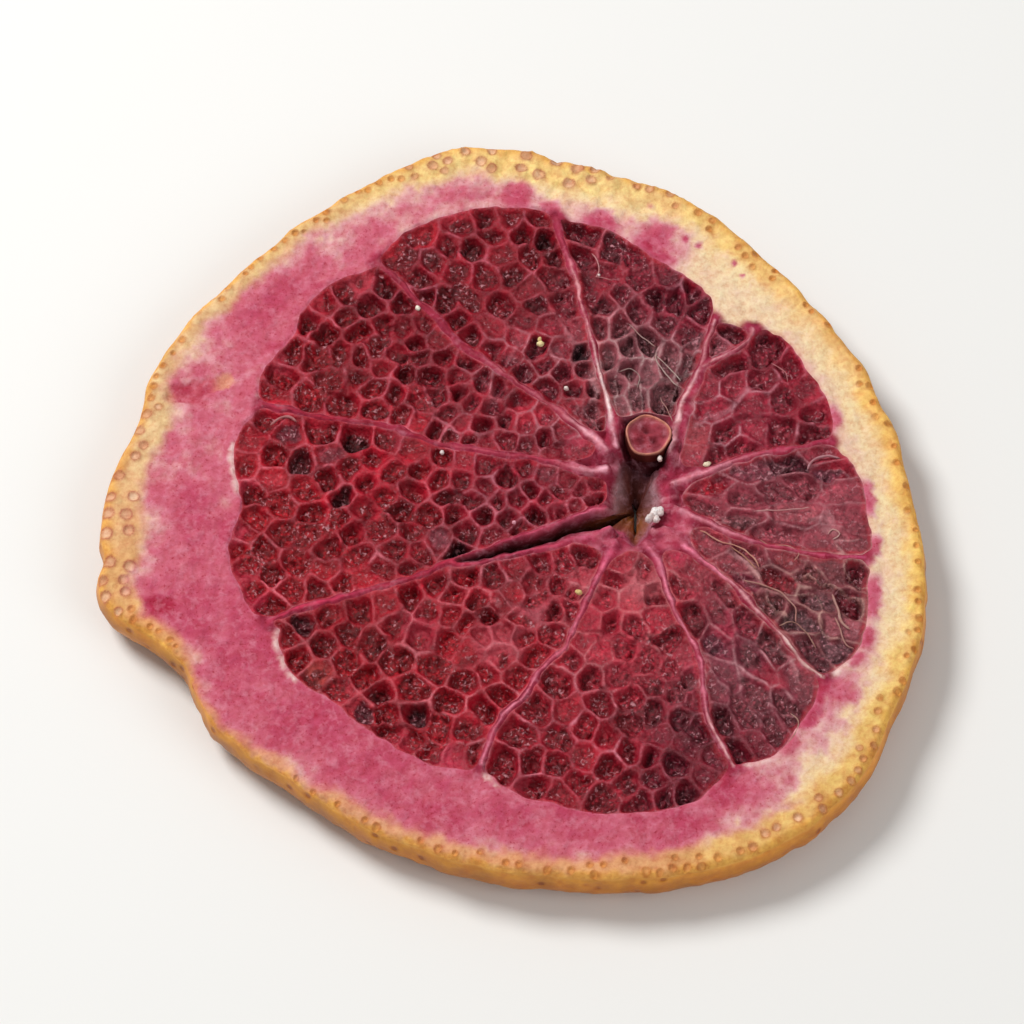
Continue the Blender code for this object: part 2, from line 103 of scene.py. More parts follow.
# The lamps, in metres: (name, place, size, power, colour). Both look at the origin.
LAMPS = [
    ("key", (-0.28, 0.2, 0.42), 0.22, 2.45, (1.0, 0.99, 0.97)),
    ("fill", (0.35, -0.25, 0.35), 0.4, 0.8, (1.0, 0.99, 0.98)),
]
CAMERA_LENS = 220.0
CAMERA_TILT = math.radians(62.0)
CAMERA_AIM = (0.0, 0.0, 0.003)
CAMERA_DISTANCE = 0.5513

RIM = [
    (35.4, 0.0), (34.6, 4.0), (33.4, 8.3), (30.3, 15.2), (25.6, 21.4), (20.3, 27.2), (15.3, 31.2),
    (10.2, 33.4), (5.0, 35.0), (0.0, 36.2), (-5.0, 36.2), (-9.8, 34.4), (-15.0, 31.1), (-20.0, 27.4),
    (-25.2, 22.3), (-29.5, 17.3), (-32.1, 12.5), (-32.9, 8.6), (-34.1, 5.4), (-35.6, 0.6), (-35.9, -3.0),
    (-35.5, -5.3), (-36.0, -7.8), (-34.8, -10.8), (-31.6, -13.2), (-28.8, -15.4), (-27.4, -18.6),
    (-24.9, -22.6), (-20.0, -26.3), (-15.4, -29.7), (-10.4, -32.6), (-5.0, -34.6), (0.0, -35.8),
    (6.0, -36.4), (12.0, -36.3), (18.0, -35.2), (23.3, -33.0), (27.4, -29.8), (30.6, -25.9), (33.4, -19.3),
    (35.1, -15.0), (36.1, -10.0), (36.0, -5.0),
]

# Each membrane runs outwards from the core. They are numbered anticlockwise.
MEMBRANES = {
    "east": [(14.2, 1.7), (16.5, 2.5), (20.0, 4.0), (24.0, 5.0), (28.0, 5.9)],
    "spur": [(17.0, 13.3), (18.3, 14.2), (20.2, 15.2), (21.1, 16.2), (21.4, 17.3)],
    "north_east": [(14.0, 4.9), (14.6, 7.5), (15.3, 10.0), (16.6, 13.2), (17.3, 15.5), (18.1, 18.0)],
    "north": [
        (9.2, 5.3), (8.6, 8.0), (8.3, 11.0), (7.6, 14.0), (6.9, 17.0), (6.2, 20.5), (5.2, 24.5),
        (4.1, 28.7),
    ],
    "north_west": [
        (8.3, 5.0), (6.6, 6.6), (4.5, 8.6), (1.5, 11.0), (-2.0, 13.6), (-4.6, 15.7), (-6.3, 18.0),
        (-8.6, 20.4), (-10.6, 22.7), (-12.0, 24.3),
    ],
    "west": [
        (8.3, 3.2), (6.0, 2.9), (3.0, 3.9), (0.0, 4.3), (-3.0, 4.9), (-6.0, 5.5), (-9.6, 7.0), (-12.0, 7.6),
        (-15.0, 8.1), (-18.0, 8.6), (-22.0, 9.6),
    ],
    "crack_lip": [
        (8.0, -0.9), (5.5, -1.8), (3.0, -2.8), (0.0, -3.9), (-3.0, -5.2), (-6.0, -6.4), (-8.0, -7.5),
        (-10.5, -8.3), (-13.0, -8.8), (-16.0, -9.8), (-18.5, -10.6), (-21.0, -11.9),
    ],
    "south_west": [
        (8.4, -2.9), (5.5, -3.9), (2.0, -4.9), (-0.2, -5.6), (-3.0, -6.3), (-6.0, -6.5), (-8.0, -7.6),
        (-10.5, -8.4), (-13.0, -8.9), (-16.0, -9.9), (-18.5, -10.7), (-21.0, -12.0),
    ],
    "south": [
        (8.9, -4.2), (8.2, -6.0), (7.4, -8.0), (6.2, -10.5), (5.3, -13.0), (4.4, -14.8), (2.6, -16.6),
        (1.2, -19.0), (-0.4, -20.6), (-1.5, -22.6), (-2.6, -25.7),
    ],
    "south_east": [
        (11.9, -4.4), (12.9, -6.5), (13.6, -9.0), (14.4, -11.3), (16.2, -15.2), (16.5, -18.0),
        (17.0, -20.7), (18.0, -23.8), (19.0, -25.9),
    ],
    "east_south": [
        (13.4, -3.1), (15.2, -4.6), (17.5, -6.6), (19.5, -8.6), (21.3, -10.9), (23.0, -12.8), (24.8, -15.2),
        (26.8, -17.3),
    ],
    "east_low": [
        (15.0, -1.1), (17.5, -2.4), (19.5, -3.4), (22.0, -4.3), (25.0, -5.0), (28.0, -5.5), (30.8, -5.6),
    ],
}

# A segment lies between two membranes: (its clockwise one, its anticlockwise one, its tip by the
# core, its rounded outer end, cell pitch by the core and by the rim, and how long its cells are).
SEGMENTS = [
    (
        "east", "spur", [(15.0, 4.9), (14.9, 3.4)],
        [(28.5, 6.6), (28.1, 9.5), (27.1, 12.0), (25.7, 14.6), (24.0, 16.5), (22.4, 17.4), (21.8, 16.9)],
        2.4, 3.0, 1.2,
    ),
    ("spur", "north_east", [(17.6, 14.0)], [(20.7, 17.1), (19.7, 17.9), (18.8, 17.6)], 2.2, 2.4, 1.0),
    (
        "north_east", "north", [(9.1, 8.5), (10.1, 8.2), (12.0, 8.9), (13.8, 8.3), (14.5, 8.2)],
        [
            (18.2, 19.0), (18.0, 20.4), (16.5, 22.1), (14.5, 23.6), (13.0, 24.7), (11.3, 26.0), (9.0, 27.4),
            (6.5, 28.4), (4.9, 28.7),
        ],
        2.0, 2.9, 1.3,
    ),
    (
        "north", "north_west", [(8.1, 6.6)],
        [
            (3.3, 29.5), (1.0, 29.9), (-2.0, 30.1), (-4.0, 29.6), (-6.0, 28.9), (-8.5, 28.1), (-10.5, 26.3),
            (-11.7, 24.9),
        ],
        1.7, 2.4, 1.1,
    ),
    (
        "north_west", "west", [(7.2, 4.5)],
        [
            (-12.4, 23.2), (-14.2, 22.8), (-16.4, 21.9), (-18.0, 20.0), (-19.3, 17.9), (-19.3, 16.6),
            (-20.6, 15.1), (-22.1, 13.0), (-22.5, 11.4), (-22.0, 10.3),
        ],
        1.7, 2.3, 1.0,
    ),
    (
        "west", "crack_lip", [(8.3, -0.2), (8.5, 1.0), (8.0, 2.2)],
        [
            (-22.4, 9.0), (-23.8, 7.5), (-24.6, 5.0), (-24.4, 2.5), (-23.5, 0.0), (-24.2, -2.2),
            (-24.9, -4.2), (-24.5, -6.3), (-23.7, -8.6), (-22.7, -10.9), (-21.8, -11.4),
        ],
        1.7, 2.4, 1.0,
    ),
    (
        "south_west", "south", [(7.6, -4.6)],
        [
            (-20.0, -12.4), (-20.2, -13.8), (-19.6, -16.0), (-18.2, -18.0), (-16.0, -19.3), (-14.0, -20.9),
            (-12.0, -22.9), (-9.0, -24.6), (-6.9, -25.7), (-4.0, -26.3),
        ],
        1.7, 2.4, 1.0,
    ),
    (
        "south", "south_east", [(11.4, -5.0), (9.9, -4.8)],
        [
            (-2.2, -26.6), (-1.0, -27.6), (1.0, -28.7), (3.5, -29.5), (6.0, -30.1), (9.0, -30.5),
            (12.0, -30.2), (15.0, -29.5), (17.0, -28.3), (18.2, -26.7),
        ],
        1.9, 2.6, 1.1,
    ),
    (
        "south_east", "east_south", [(13.3, -5.0)],
        [
            (19.8, -25.6), (20.7, -25.7), (22.1, -25.1), (23.4, -24.2), (24.6, -22.1), (25.8, -20.8),
            (26.5, -18.6),
        ],
        2.3, 3.2, 1.9,
    ),
    (
        "east_south", "east_low", [(15.4, -3.0)],
        [(27.7, -16.9), (28.9, -16.2), (30.3, -14.4), (31.2, -11.0), (31.0, -8.5), (31.3, -6.6)],
        2.3, 3.1, 1.6,
    ),
    (
        "east_low", "east", [(15.2, 1.0), (15.1, 0.0)],
        [(31.6, -4.6), (31.5, -3.0), (31.1, -1.0), (31.0, 1.0), (30.5, 3.0), (29.3, 4.7), (28.7, 5.3)],
        2.5, 3.1, 1.7,
    ),
]

# The opening at the core with the crack that runs from it, anticlockwise: each point on the
# top face, then how far it moves in towards the middle of the opening by the underside.
VOID = [
    (10.0, 4.4, 0.5), (9.5, 3.0, 0.7), (9.1, 1.0, 0.8), (8.9, -0.7, 0.7), (7.0, -1.5, 0.2),
    (4.5, -2.5, 0.2), (2.0, -3.5, 0.15), (0.0, -4.3, 0.12), (-2.5, -5.2, 0.06), (-4.6, -6.0, 0.0),
    (-2.4, -5.6, 0.06), (0.0, -5.0, 0.12), (2.0, -4.4, 0.15), (4.5, -3.5, 0.2), (7.0, -2.6, 0.2),
    (9.0, -2.3, 0.3), (10.0, -2.9, 0.4), (10.9, -4.0, 0.5), (11.5, -3.0, 0.4), (12.2, -1.4, 0.5),
    (12.7, 0.4, 0.7), (12.5, 2.2, 0.7), (12.7, 3.7, 0.5), (11.6, 4.2, 0.4),
]

# How wide the golden cut edge of the peel is, by place: (x, y, width).
PEEL_WIDTHS = [
    (-35.0, -3.0, 3.3), (-34.0, 5.0, 2.6), (-35.0, -9.5, 2.8), (-30.0, 16.0, 1.5), (-24.0, 23.0, 1.4),
    (-15.0, 31.0, 1.6), (-5.0, 36.0, 2.6), (3.0, 35.5, 3.0), (11.0, 33.0, 2.4), (20.0, 27.5, 2.0),
    (28.0, 18.0, 1.6), (33.0, 8.0, 1.5), (36.0, -5.0, 1.3), (35.0, -15.0, 1.6), (31.0, -25.0, 2.3),
    (25.0, -31.5, 2.4), (15.0, -36.0, 2.0), (2.0, -36.0, 1.6), (-10.0, -32.5, 1.3), (-20.0, -26.3, 0.7),
    (-27.0, -19.0, 0.4), (-31.5, -13.0, 1.1),
]

# How far juice has soaked the pith, from 0 (cream) to 1 (deep pink), by place: (x, y, amount).
PITH_SOAK = [
    (-29.0, 3.0, 0.62), (-26.0, -6.0, 0.68), (-27.0, -12.0, 0.82), (-22.0, -17.0, 0.85),
    (-15.0, -24.0, 0.80), (-6.0, -30.0, 0.78), (4.0, -32.5, 0.80), (13.0, -32.0, 0.78), (20.0, -29.5, 0.52),
    (25.0, -26.0, 0.32), (28.0, -20.5, 0.36), (31.0, -16.0, 0.3), (32.8, -10.0, 0.1), (33.2, -3.0, 0.0),
    (33.0, 3.0, 0.04), (31.0, 9.0, 0.1), (28.0, 14.5, 0.12), (23.5, 20.5, 0.03), (18.0, 24.0, 0.03),
    (14.0, 27.5, 0.35), (10.0, 29.8, 0.28), (5.0, 31.5, 0.24), (1.0, 32.0, 0.4), (-5.0, 32.0, 0.36),
    (-10.0, 31.0, 0.5), (-16.0, 26.5, 0.56), (-22.0, 20.5, 0.7), (-26.0, 14.5, 0.58), (-28.5, 9.0, 0.66),
    (10.0, 0.0, 0.65),
]

# Spots where juice has stained the pith: (x, y, radius, strength).
STAINS = [
    (-30.6, -10.4, 1.1, 1.0), (-5.0, 32.4, 1.4, 0.1), (16.8, 26.0, 0.35, 1.3), (18.3, 27.0, 0.3, 1.1),
    (15.6, 26.6, 0.3, 1.0), (19.7, 25.4, 0.35, 1.3), (20.0, 24.1, 0.35, 1.2), (20.7, 22.8, 0.25, 1.0),
    (13.0, 27.0, 1.5, 0.65), (12.5, 30.3, 0.3, 1.0), (8.0, 28.8, 1.2, 0.6), (3.5, 29.8, 1.0, 0.6),
    (4.8, -29.8, 0.9, 0.6), (18.3, -28.0, 1.6, 0.5), (-16.9, -21.0, 0.3, 1.2), (0.5, 31.3, 1.6, 0.5),
    (29.0, -18.6, 1.6, 0.4), (34.0, -3.4, 0.5, 0.12),
]

# Where juice has crept out of the pulp into its pale border: (x, y, reach along the border, strength).
CREEP = [
    (31.8, 0.2, 1.7, 1.0), (31.9, -4.6, 1.3, 0.9), (31.6, -9.6, 2.1, 0.9), (31.0, -13.6, 1.2, 0.7),
    (30.0, -15.8, 0.9, 0.6), (26.9, -18.8, 1.5, 1.2), (26.0, -21.4, 1.4, 0.9), (28.7, 8.2, 1.3, 0.6),
    (13.2, 26.0, 2.2, 0.9), (8.0, 28.8, 2.0, 0.6), (18.6, -27.2, 1.8, 0.5), (24.0, -24.2, 1.4, 0.4),
]

# Pale slivers of bare lining between pith and pulp: (x, y, radius).
SLIVERS = [
    (-24.6, 5.2, 0.5), (-24.6, 4.1, 0.6), (-24.4, 3.0, 0.7), (-24.0, 1.7, 0.9), (-20.3, -12.6, 0.8),
    (-20.5, -14.2, 0.8), (-19.9, -16.0, 0.8), (-19.0, -17.5, 0.6), (-2.5, -27.2, 0.8), (-1.6, -28.0, 0.6),
    (20.0, -26.4, 0.9), (21.8, -26.0, 0.8), (-22.4, 10.0, 0.6), (29.4, -16.7, 0.9), (28.2, -17.3, 0.9),
    (27.6, 7.4, 0.6), (22.6, 18.2, 0.9),
]

# The stained, shrunken flake in the pith on the left: its ends.
FLAKE = ((-29.6, 10.6), (-25.4, 11.9))

# The look of the pulp by place: (x, y, crest of a wall, whose pale line is partly a painted highlight, side
# of a wall, floor of a cell, share of cells that still have their lids, how stringy its torn walls are).
PULP_LOOKS = [
    (-22.0, -2.0, "D36574", "970D1E", "920B19", 0.12, 0.0),
    (-18.0, 14.0, "C75C6D", "880D1E", "8A0B19", 0.1, 0.0),
    (-10.0, 2.0, "D06677", "A11126", "8B0C1B", 0.15, 0.0),
    (0.0, 1.0, "CA7183", "881327", "760F1E", 0.2, 0.2),
    (-14.0, -15.0, "CF6470", "8F0D1E", "8A0B18", 0.12, 0.0),
    (-3.0, -15.0, "D76E7A", "A21226", "9A0F1E", 0.15, 0.1),
    (-6.0, 20.0, "C45A6F", "880D20", "720C19", 0.1, 0.0),
    (0.0, 27.0, "BE5264", "880C1E", "720B19", 0.1, 0.0),
    (3.0, 12.0, "BC7480", "8C1628", "811D2F", 0.2, 0.4),
    (6.0, -24.0, "DB7C8E", "931125", "881221", 0.12, 0.0),
    (11.0, -13.0, "D17B80", "A02537", "A72839", 0.25, 0.2),
    (16.0, -25.0, "B66476", "731022", "6B1829", 0.15, 0.1),
    (20.0, -16.0, "C1838B", "7E2F3F", "77353E", 0.3, 0.5),
    (26.0, -10.0, "BC8C84", "7C3A42", "783A3E", 0.35, 1.6),
    (24.0, -1.0, "C98C94", "87313F", "963E4B", 0.4, 0.5),
    (20.0, 9.0, "C98C99", "8F1B32", "99283A", 0.35, 0.5),
    (26.0, 12.0, "C56A7C", "8C1329", "84182B", 0.15, 0.1),
    (12.0, 12.5, "BC9A9A", "8C4C55", "7F4A50", 0.35, 1.8),
    (10.0, 25.0, "C16372", "7E1223", "761829", 0.12, 0.2),
    (16.0, 20.0, "BE6F80", "81182D", "761E2F", 0.2, 0.3),
]

# Cells that stand out among the rest: (x, y, width, depth, floor).
MARKED_CELLS = [
    (-13.8, 5.9, 2.0, 1.7, "3C060B"), (-20.2, 6.5, 2.8, 0.4, "66202E"), (-16.2, 4.6, 2.8, 0.3, "7D2E3B"),
    (-18.6, 3.8, 2.8, 1.2, "610B17"), (-21.4, 2.4, 2.4, 0.2, "B52A39"), (-6.4, -4.1, 2.6, 0.3, "88414E"),
    (-4.5, -5.0, 2.0, 1.4, "320A11"), (-14.6, 0.6, 2.8, 1.3, "540A15"), (-23.2, 6.6, 4.0, 0.15, "911322"),
    (-11.3, -19.0, 3.2, 1.3, "720D19"), (-8.4, -21.2, 3.0, 1.3, "4E131E"),
    (-13.0, -20.9, 2.6, 0.7, "6E2430"), (-18.1, -12.4, 3.2, 0.8, "591520"),
    (-1.1, -10.4, 2.2, 0.3, "BE5B65"), (17.8, 1.4, 3.4, 0.6, "B1182E"), (21.3, 2.9, 3.0, 0.4, "883E4C"),
    (24.7, 4.1, 3.4, 0.9, "5F1D2C"), (27.8, 3.3, 2.4, 0.8, "783A4A"), (24.7, -1.3, 4.6, 0.25, "A44D57"),
    (21.2, -1.2, 3.4, 0.5, "8D4850"), (23.4, -5.0, 3.4, 0.3, "943A40"), (22.6, -7.6, 4.4, 0.6, "8D2430"),
    (29.7, -10.1, 2.2, 1.0, "731A29"), (26.0, -9.6, 4.2, 0.5, "7E4A50"), (24.7, -11.4, 3.0, 0.6, "784A50"),
    (27.6, -12.6, 4.4, 0.2, "9F525C"), (30.4, -7.6, 2.4, 0.9, "6E1827"), (20.0, -8.2, 5.0, 0.4, "883245"),
    (23.1, -13.2, 3.2, 0.6, "A91F33"), (25.6, -15.0, 2.8, 0.7, "74343E"), (18.0, -14.0, 3.8, 0.5, "763040"),
    (20.4, -12.0, 3.2, 0.7, "943040"), (3.3, 26.8, 2.4, 1.3, "4E0B15"), (6.4, 14.7, 2.2, 1.2, "3C1E26"),
    (10.6, -9.6, 3.6, 0.15, "BE4450"), (18.4, 9.2, 4.0, 0.3, "941830"), (16.4, 6.6, 3.6, 0.25, "AE4650"),
    (3.0, 2.6, 3.2, 0.3, "752835"), (27.0, -15.2, 3.4, 0.5, "7E4C54"),
]

# Where the walls are flushed a bright, smooth red: (x, y, radius, colour).
FLUSHED = [
    (-20.8, 9.0, 1.5, "B81C30"), (-17.0, 8.1, 1.3, "B01A2E"), (-13.4, 7.3, 1.2, "A8182C"),
    (-10.4, 6.2, 1.0, "A01A30"), (-24.4, -3.0, 1.3, "B02C42"), (-23.4, -7.4, 1.4, "A82438"),
    (-22.2, -10.2, 1.2, "A8203A"), (-23.6, 1.6, 1.1, "AC2A3E"), (-10.6, 25.6, 1.5, "BA2030"),
    (-8.0, 27.4, 1.5, "B82030"), (-5.2, 28.8, 1.2, "AE2234"), (-13.4, 21.8, 1.4, "AE3040"),
    (-17.6, 19.6, 1.2, "A82032"), (-20.8, 14.0, 1.3, "A62236"), (-16.8, -16.8, 1.2, "BE4C48"),
    (-14.2, -19.2, 1.6, "B83040"), (-10.0, -23.4, 1.6, "AE2A3C"), (-5.4, -25.2, 1.3, "AE2C44"),
    (0.4, -27.8, 1.2, "A42A3C"), (1.4, 8.6, 1.8, "B42C3E"), (5.6, 6.0, 1.2, "AC3048"),
    (16.0, 6.4, 1.9, "A83C46"), (27.2, 10.0, 1.5, "A81C34"), (28.6, 3.6, 1.2, "A41E34"),
    (6.6, -8.6, 1.6, "AC4450"), (11.4, -8.2, 2.0, "B2525C"), (-8.0, -12.4, 1.8, "A4283A"),
    (-1.4, -14.0, 2.2, "B03E4C"), (2.0, -11.0, 1.6, "AE4856"), (14.6, -5.4, 1.2, "A62440"),
    (18.6, -12.8, 1.4, "A42C44"), (22.6, -17.4, 1.4, "9C2438"),
]

# The colours of the membranes, of the peel and of the walls of the opening, by place: (x, y, colour).
MEMBRANE_LOOKS = [
    (8.4, 11.0, "FEE1E1"), (6.0, 21.0, "E3A0A6"), (4.4, 27.0, "BB4E66"), (3.0, 9.6, "C0606E"),
    (-6.0, 18.0, "92283A"), (2.0, 3.8, "B23C50"), (-10.0, 7.2, "941C30"), (-18.0, 8.6, "A8243A"),
    (3.0, -4.7, "C84C6A"), (-8.0, -7.6, "B02C46"), (-16.0, -9.8, "BE3454"), (8.7, -3.2, "DC5F82"),
    (5.0, -13.0, "D6687F"), (-1.5, -22.5, "E7869E"), (13.0, -7.0, "E7829C"), (16.6, -17.0, "D6758C"),
    (18.4, -25.0, "E3ADB1"), (16.0, -5.2, "E37D99"), (22.0, -10.6, "E7ABAF"), (26.0, -15.4, "EFD8CF"),
    (17.0, -2.2, "E597A8"), (24.0, -4.8, "C55670"), (30.0, -5.6, "CC5079"), (16.0, 2.4, "E78FA2"),
    (25.0, 5.3, "B93856"), (14.8, 8.0, "FAC7CB"), (17.2, 15.5, "D6939C"), (9.0, 4.8, "F4B1C2"),
    (13.6, 1.5, "DA99A4"), (12.5, 3.0, "D2939C"),
]
PEEL_LOOKS = [
    (-34.5, -2.0, "DEAC78"), (-34.5, -8.0, "DEAA70"), (-33.0, 6.0, "DEB886"), (-28.0, 19.0, "DCB482"),
    (-20.0, 27.0, "E0B87C"), (-8.0, 35.0, "EAC680"), (2.0, 35.5, "F0CC82"), (12.0, 33.0, "EECB86"),
    (20.0, 27.5, "ECC276"), (28.0, 18.0, "EEC07A"), (34.0, 6.0, "F0BE68"), (36.0, -7.0, "F2C46A"),
    (34.5, -16.0, "F0C876"), (31.0, -25.0, "E4BA6C"), (24.0, -32.0, "E2B26A"), (5.0, -36.0, "DEA070"),
    (-15.0, -29.5, "DC9E74"), (-26.0, -20.0, "D8926C"), (-31.5, -13.0, "E0A468"),
]
OPENING_LOOKS = [
    (9.3, 2.2, "B48E92"), (9.0, 0.4, "B08488"), (9.2, 4.0, "5A2028"), (10.6, 4.6, "3C1418"),
    (12.3, 4.0, "5A2430"), (12.8, 2.0, "B08890"), (12.6, 0.0, "A87C84"), (12.0, -1.8, "A06878"),
    (11.0, -4.0, "9C4058"), (9.4, -2.6, "B8486A"), (7.0, -2.6, "A03A54"), (3.0, -4.0, "8C2C40"),
    (-2.0, -5.4, "6C1C2C"), (7.0, -1.4, "5C1C26"), (4.0, -2.6, "54181F"), (0.0, -4.2, "4A141C"),
    (-3.0, -5.4, "4A141C"),
]

# The steps down the outer skin and the opening's wall, each a share of the way, and how far the
# skin has drawn in at some of them.
SKIN_LEVELS = (0.0, 0.06, 0.14, 0.24, 0.34, 0.44, 0.54, 0.63, 0.71, 0.79, 0.86, 0.92, 0.97, 1.0)
SKIN_INSETS = ([0.0, 0.15, 0.38, 0.6, 0.8, 0.93, 1.0], [0.0, -0.16, -0.25, -0.05, 0.6, 1.2, SKIN_UNDERCUT])
OPENING_LEVELS = (0.0, 0.08, 0.2, 0.36, 0.54, 0.72, 0.88, 1.0)

# The cut pip from its side to its middle: (share of its radius, height over the pith).
PIP_ROWS = [
    (1.02, -1.2), (1.0, -0.14), (0.97, 0.1), (0.93, 0.14), (0.9, 0.06), (0.86, -0.12), (0.78, -0.26),
    (0.66, -0.34), (0.54, -0.32), (0.42, -0.3), (0.28, -0.3), (0.14, -0.3),
]
PIP_PITS = [(-0.62, -0.35, 0.42), (0.5, -0.3, 0.4), (-0.1, 0.62, 0.3)]

# Loose strands of torn cell wall: (points, half-width, colour).
STRANDS = [
    ([(7.3, 25.2), (7.8, 24.4), (7.9, 23.4), (7.5, 22.7)], 0.056, "C48A8C"),
    ([(7.4, 22.8), (8.2, 22.6), (9.2, 22.3)], 0.043, "B87A7C"),
    ([(12.9, 14.8), (12.8, 14.0), (13.4, 13.0), (14.2, 12.0), (14.9, 11.3)], 0.056, "B49A94"),
    ([(12.9, 14.4), (13.6, 13.6), (14.3, 12.7), (15.0, 12.0)], 0.043, "BCA8A0"),
    ([(10.4, 17.6), (11.0, 16.9), (11.9, 16.2), (12.9, 15.4)], 0.05, "A88884"),
    ([(13.3, 10.2), (13.6, 9.3), (14.1, 8.3), (14.2, 7.9)], 0.043, "B08880"),
    ([(9.6, 12.9), (10.6, 13.2), (11.3, 12.4), (11.2, 11.2)], 0.05, "9C8480"),
    ([(21.5, -0.9), (22.8, -1.1), (24.4, -0.9), (26.2, -0.8)], 0.05, "C08C8C"),
    ([(20.3, -7.9), (21.8, -8.3), (23.6, -9.2), (24.6, -10.4), (24.7, -12.0)], 0.075, "AC7C74"),
    ([(23.2, -12.4), (24.6, -12.1), (25.6, -13.2), (26.4, -14.6)], 0.062, "A0786C"),
    ([(28.1, -11.4), (28.5, -12.6), (29.0, -14.2), (29.7, -14.6)], 0.07, "A87870"),
    ([(19.2, -4.6), (20.6, -5.6), (21.4, -6.8)], 0.05, "B07C68"),
    ([(24.0, -20.8), (24.7, -21.6), (24.5, -22.6), (23.6, -24.0)], 0.05, "AC8276"),
    ([(23.2, 13.6), (24.4, 13.0), (24.5, 11.8)], 0.043, "B87478"),
    ([(16.4, 12.6), (17.4, 13.9), (18.6, 14.6)], 0.043, "A8848A"),
    ([(-21.3, 7.5), (-20.6, 8.1), (-19.7, 8.2), (-19.0, 7.7)], 0.13, "AC6E70"),
    ([(26.2, 3.2), (26.7, 4.1), (27.7, 4.5), (28.9, 4.3)], 0.13, "B07C84"),
    ([(28.0, -9.3), (28.4, -10.6), (28.6, -11.9), (29.4, -12.7)], 0.12, "B0847C"),
    ([(16.4, -2.9), (18.2, -4.0), (20.0, -4.6), (21.2, -5.6), (21.6, -6.6)], 0.06, "C08878"),
    ([(21.8, -3.9), (22.6, -4.4), (24.2, -4.6), (25.2, -5.2), (24.6, -6.0)], 0.05, "B8857A"),
    ([(27.8, -3.4), (28.2, -2.9), (28.8, -3.2), (28.2, -3.9)], 0.06, "C89C98"),
]

# Crumbs of dried white membrane: (x, y, radius, height over the cells, colour).
CRUMBS = [
    (12.5, -1.1, 0.52, -0.25, "F4EEEC"), (12.1, -1.6, 0.44, -0.3, "ECE2E0"),
    (12.95, -0.9, 0.42, -0.3, "EADEDC"), (12.7, -1.8, 0.36, -0.3, "F0E8E6"),
    (2.55, 15.6, 0.3, 0.0, "F0E0A8"), (2.45, 16.0, 0.24, 0.05, "EBD79A"), (-8.4, 19.5, 0.2, 0.05, "F6F0E0"),
    (4.95, 11.2, 0.22, 0.0, "F0E2DC"), (5.75, -9.1, 0.26, 0.0, "E4CB8C"), (-6.1, 4.7, 0.2, 0.0, "EADADA"),
    (17.3, 3.6, 0.28, 0.1, "EEDCC0"), (13.1, 4.3, 0.26, -0.2, "E8D2CC"), (0.2, -2.2, 0.16, 0.0, "E8A8B8"),
    (7.9, 22.9, 0.14, 0.1, "F0DAD6"),
]

# The sheets of faces of a piece, each with its own part of the texture. WALL is the side of a
# segment of pulp, and the outer skin of the rind.
CUT_FACE, UNDERSIDE, WALL, OPENING_WALL, INNER_WALL = range(5)

# Where each sheet goes in the texture: a square (x, y, size) for a flat one, and strips (left,
# bottom, along, across, number, upright) for a wall.
PULP_LAYOUT = (
    {CUT_FACE: (0.33, 0.33, 0.64), UNDERSIDE: (0.83, 0.83, 0.32)},
    {WALL: (0.68, 0.02, 0.3, 0.62, 4, False)},
)
RIND_LAYOUT = (
    {CUT_FACE: (0.355, 0.355, 0.69), UNDERSIDE: (0.77, 0.77, 0.43)},
    {
        WALL: (0.725, 0.01, 0.5, 0.16, 3, True), OPENING_WALL: (0.9, 0.01, 0.5, 0.09, 1, True),
        INNER_WALL: (0.01, 0.73, 0.5, 0.25, 4, False),
    },
)
SMALL_LAYOUT = ({CUT_FACE: (0.4, 0.4, 0.78), UNDERSIDE: (0.9, 0.9, 0.18)}, {})


# ---- Colours and places ----


def linear(code):
    """An sRGB hex colour as linear red, green and blue."""
    parts = np.array([int(code[i : i + 2], 16) / 255 for i in (0, 2, 4)])
    return np.where(parts <= 0.04045, parts / 12.92, ((parts + 0.055) / 1.055) ** 2.4)


def lerp(a, b, t):
    """From a to b, each of them values or a hex colour, as t goes from 0 to 1."""
    a, b = (linear(end) if isinstance(end, str) else end for end in (a, b))
    return a + (b - a) * np.reshape(t, (-1, 1))


def smoothstep(low, high, value):
    """From 0 where the value is low to 1 where it is high, easing in and out."""
    t = np.clip((value - low) / (high - low), 0.0, 1.0)
    return t * t * (3 - 2 * t)


def ripple(places, size, seed):
    """Smooth noise from -1 to 1 whose bumps are about the given size in millimetres."""
    table = np.random.default_rng(seed).uniform(-1.0, 1.0, (256, 256))
    grid = np.asarray(places)[:, :2] / size + 512.0
    low = np.floor(grid).astype(int)
    t = grid - low
    t = t * t * (3 - 2 * t)
    x0, y0 = low[:, 0] % 256, low[:, 1] % 256
    x1, y1 = (x0 + 1) % 256, (y0 + 1) % 256
    near = table[x0, y0] * (1 - t[:, 0]) + table[x1, y0] * t[:, 0]
    far = table[x0, y1] * (1 - t[:, 0]) + table[x1, y1] * t[:, 0]
    return near * (1 - t[:, 1]) + far * t[:, 1]


def by_place(samples, places, values):
    """Values that go with the samples, blended smoothly over other places."""
    places = np.asarray(places)
    found, total = 0.0, 0.0
    for (x, y, *_), value in zip(samples, values):
        weight = 1.0 / ((places[:, 0] - x) ** 2 + (places[:, 1] - y) ** 2 + 2.0) ** 2
        found = found + np.multiply.outer(weight, value)
        total = total + weight
    return (found.T / total).T


def at_places(samples, places):
    """The number or hex colour given last in each sample, blended smoothly over other places."""
    last = [sample[-1] for sample in samples]
    return by_place(samples, places, [linear(v) if isinstance(v, str) else v for v in last])


def away_from(x, y, places):
    """How far places are from a point."""
    return np.hypot(places[:, 0] - x, places[:, 1] - y)


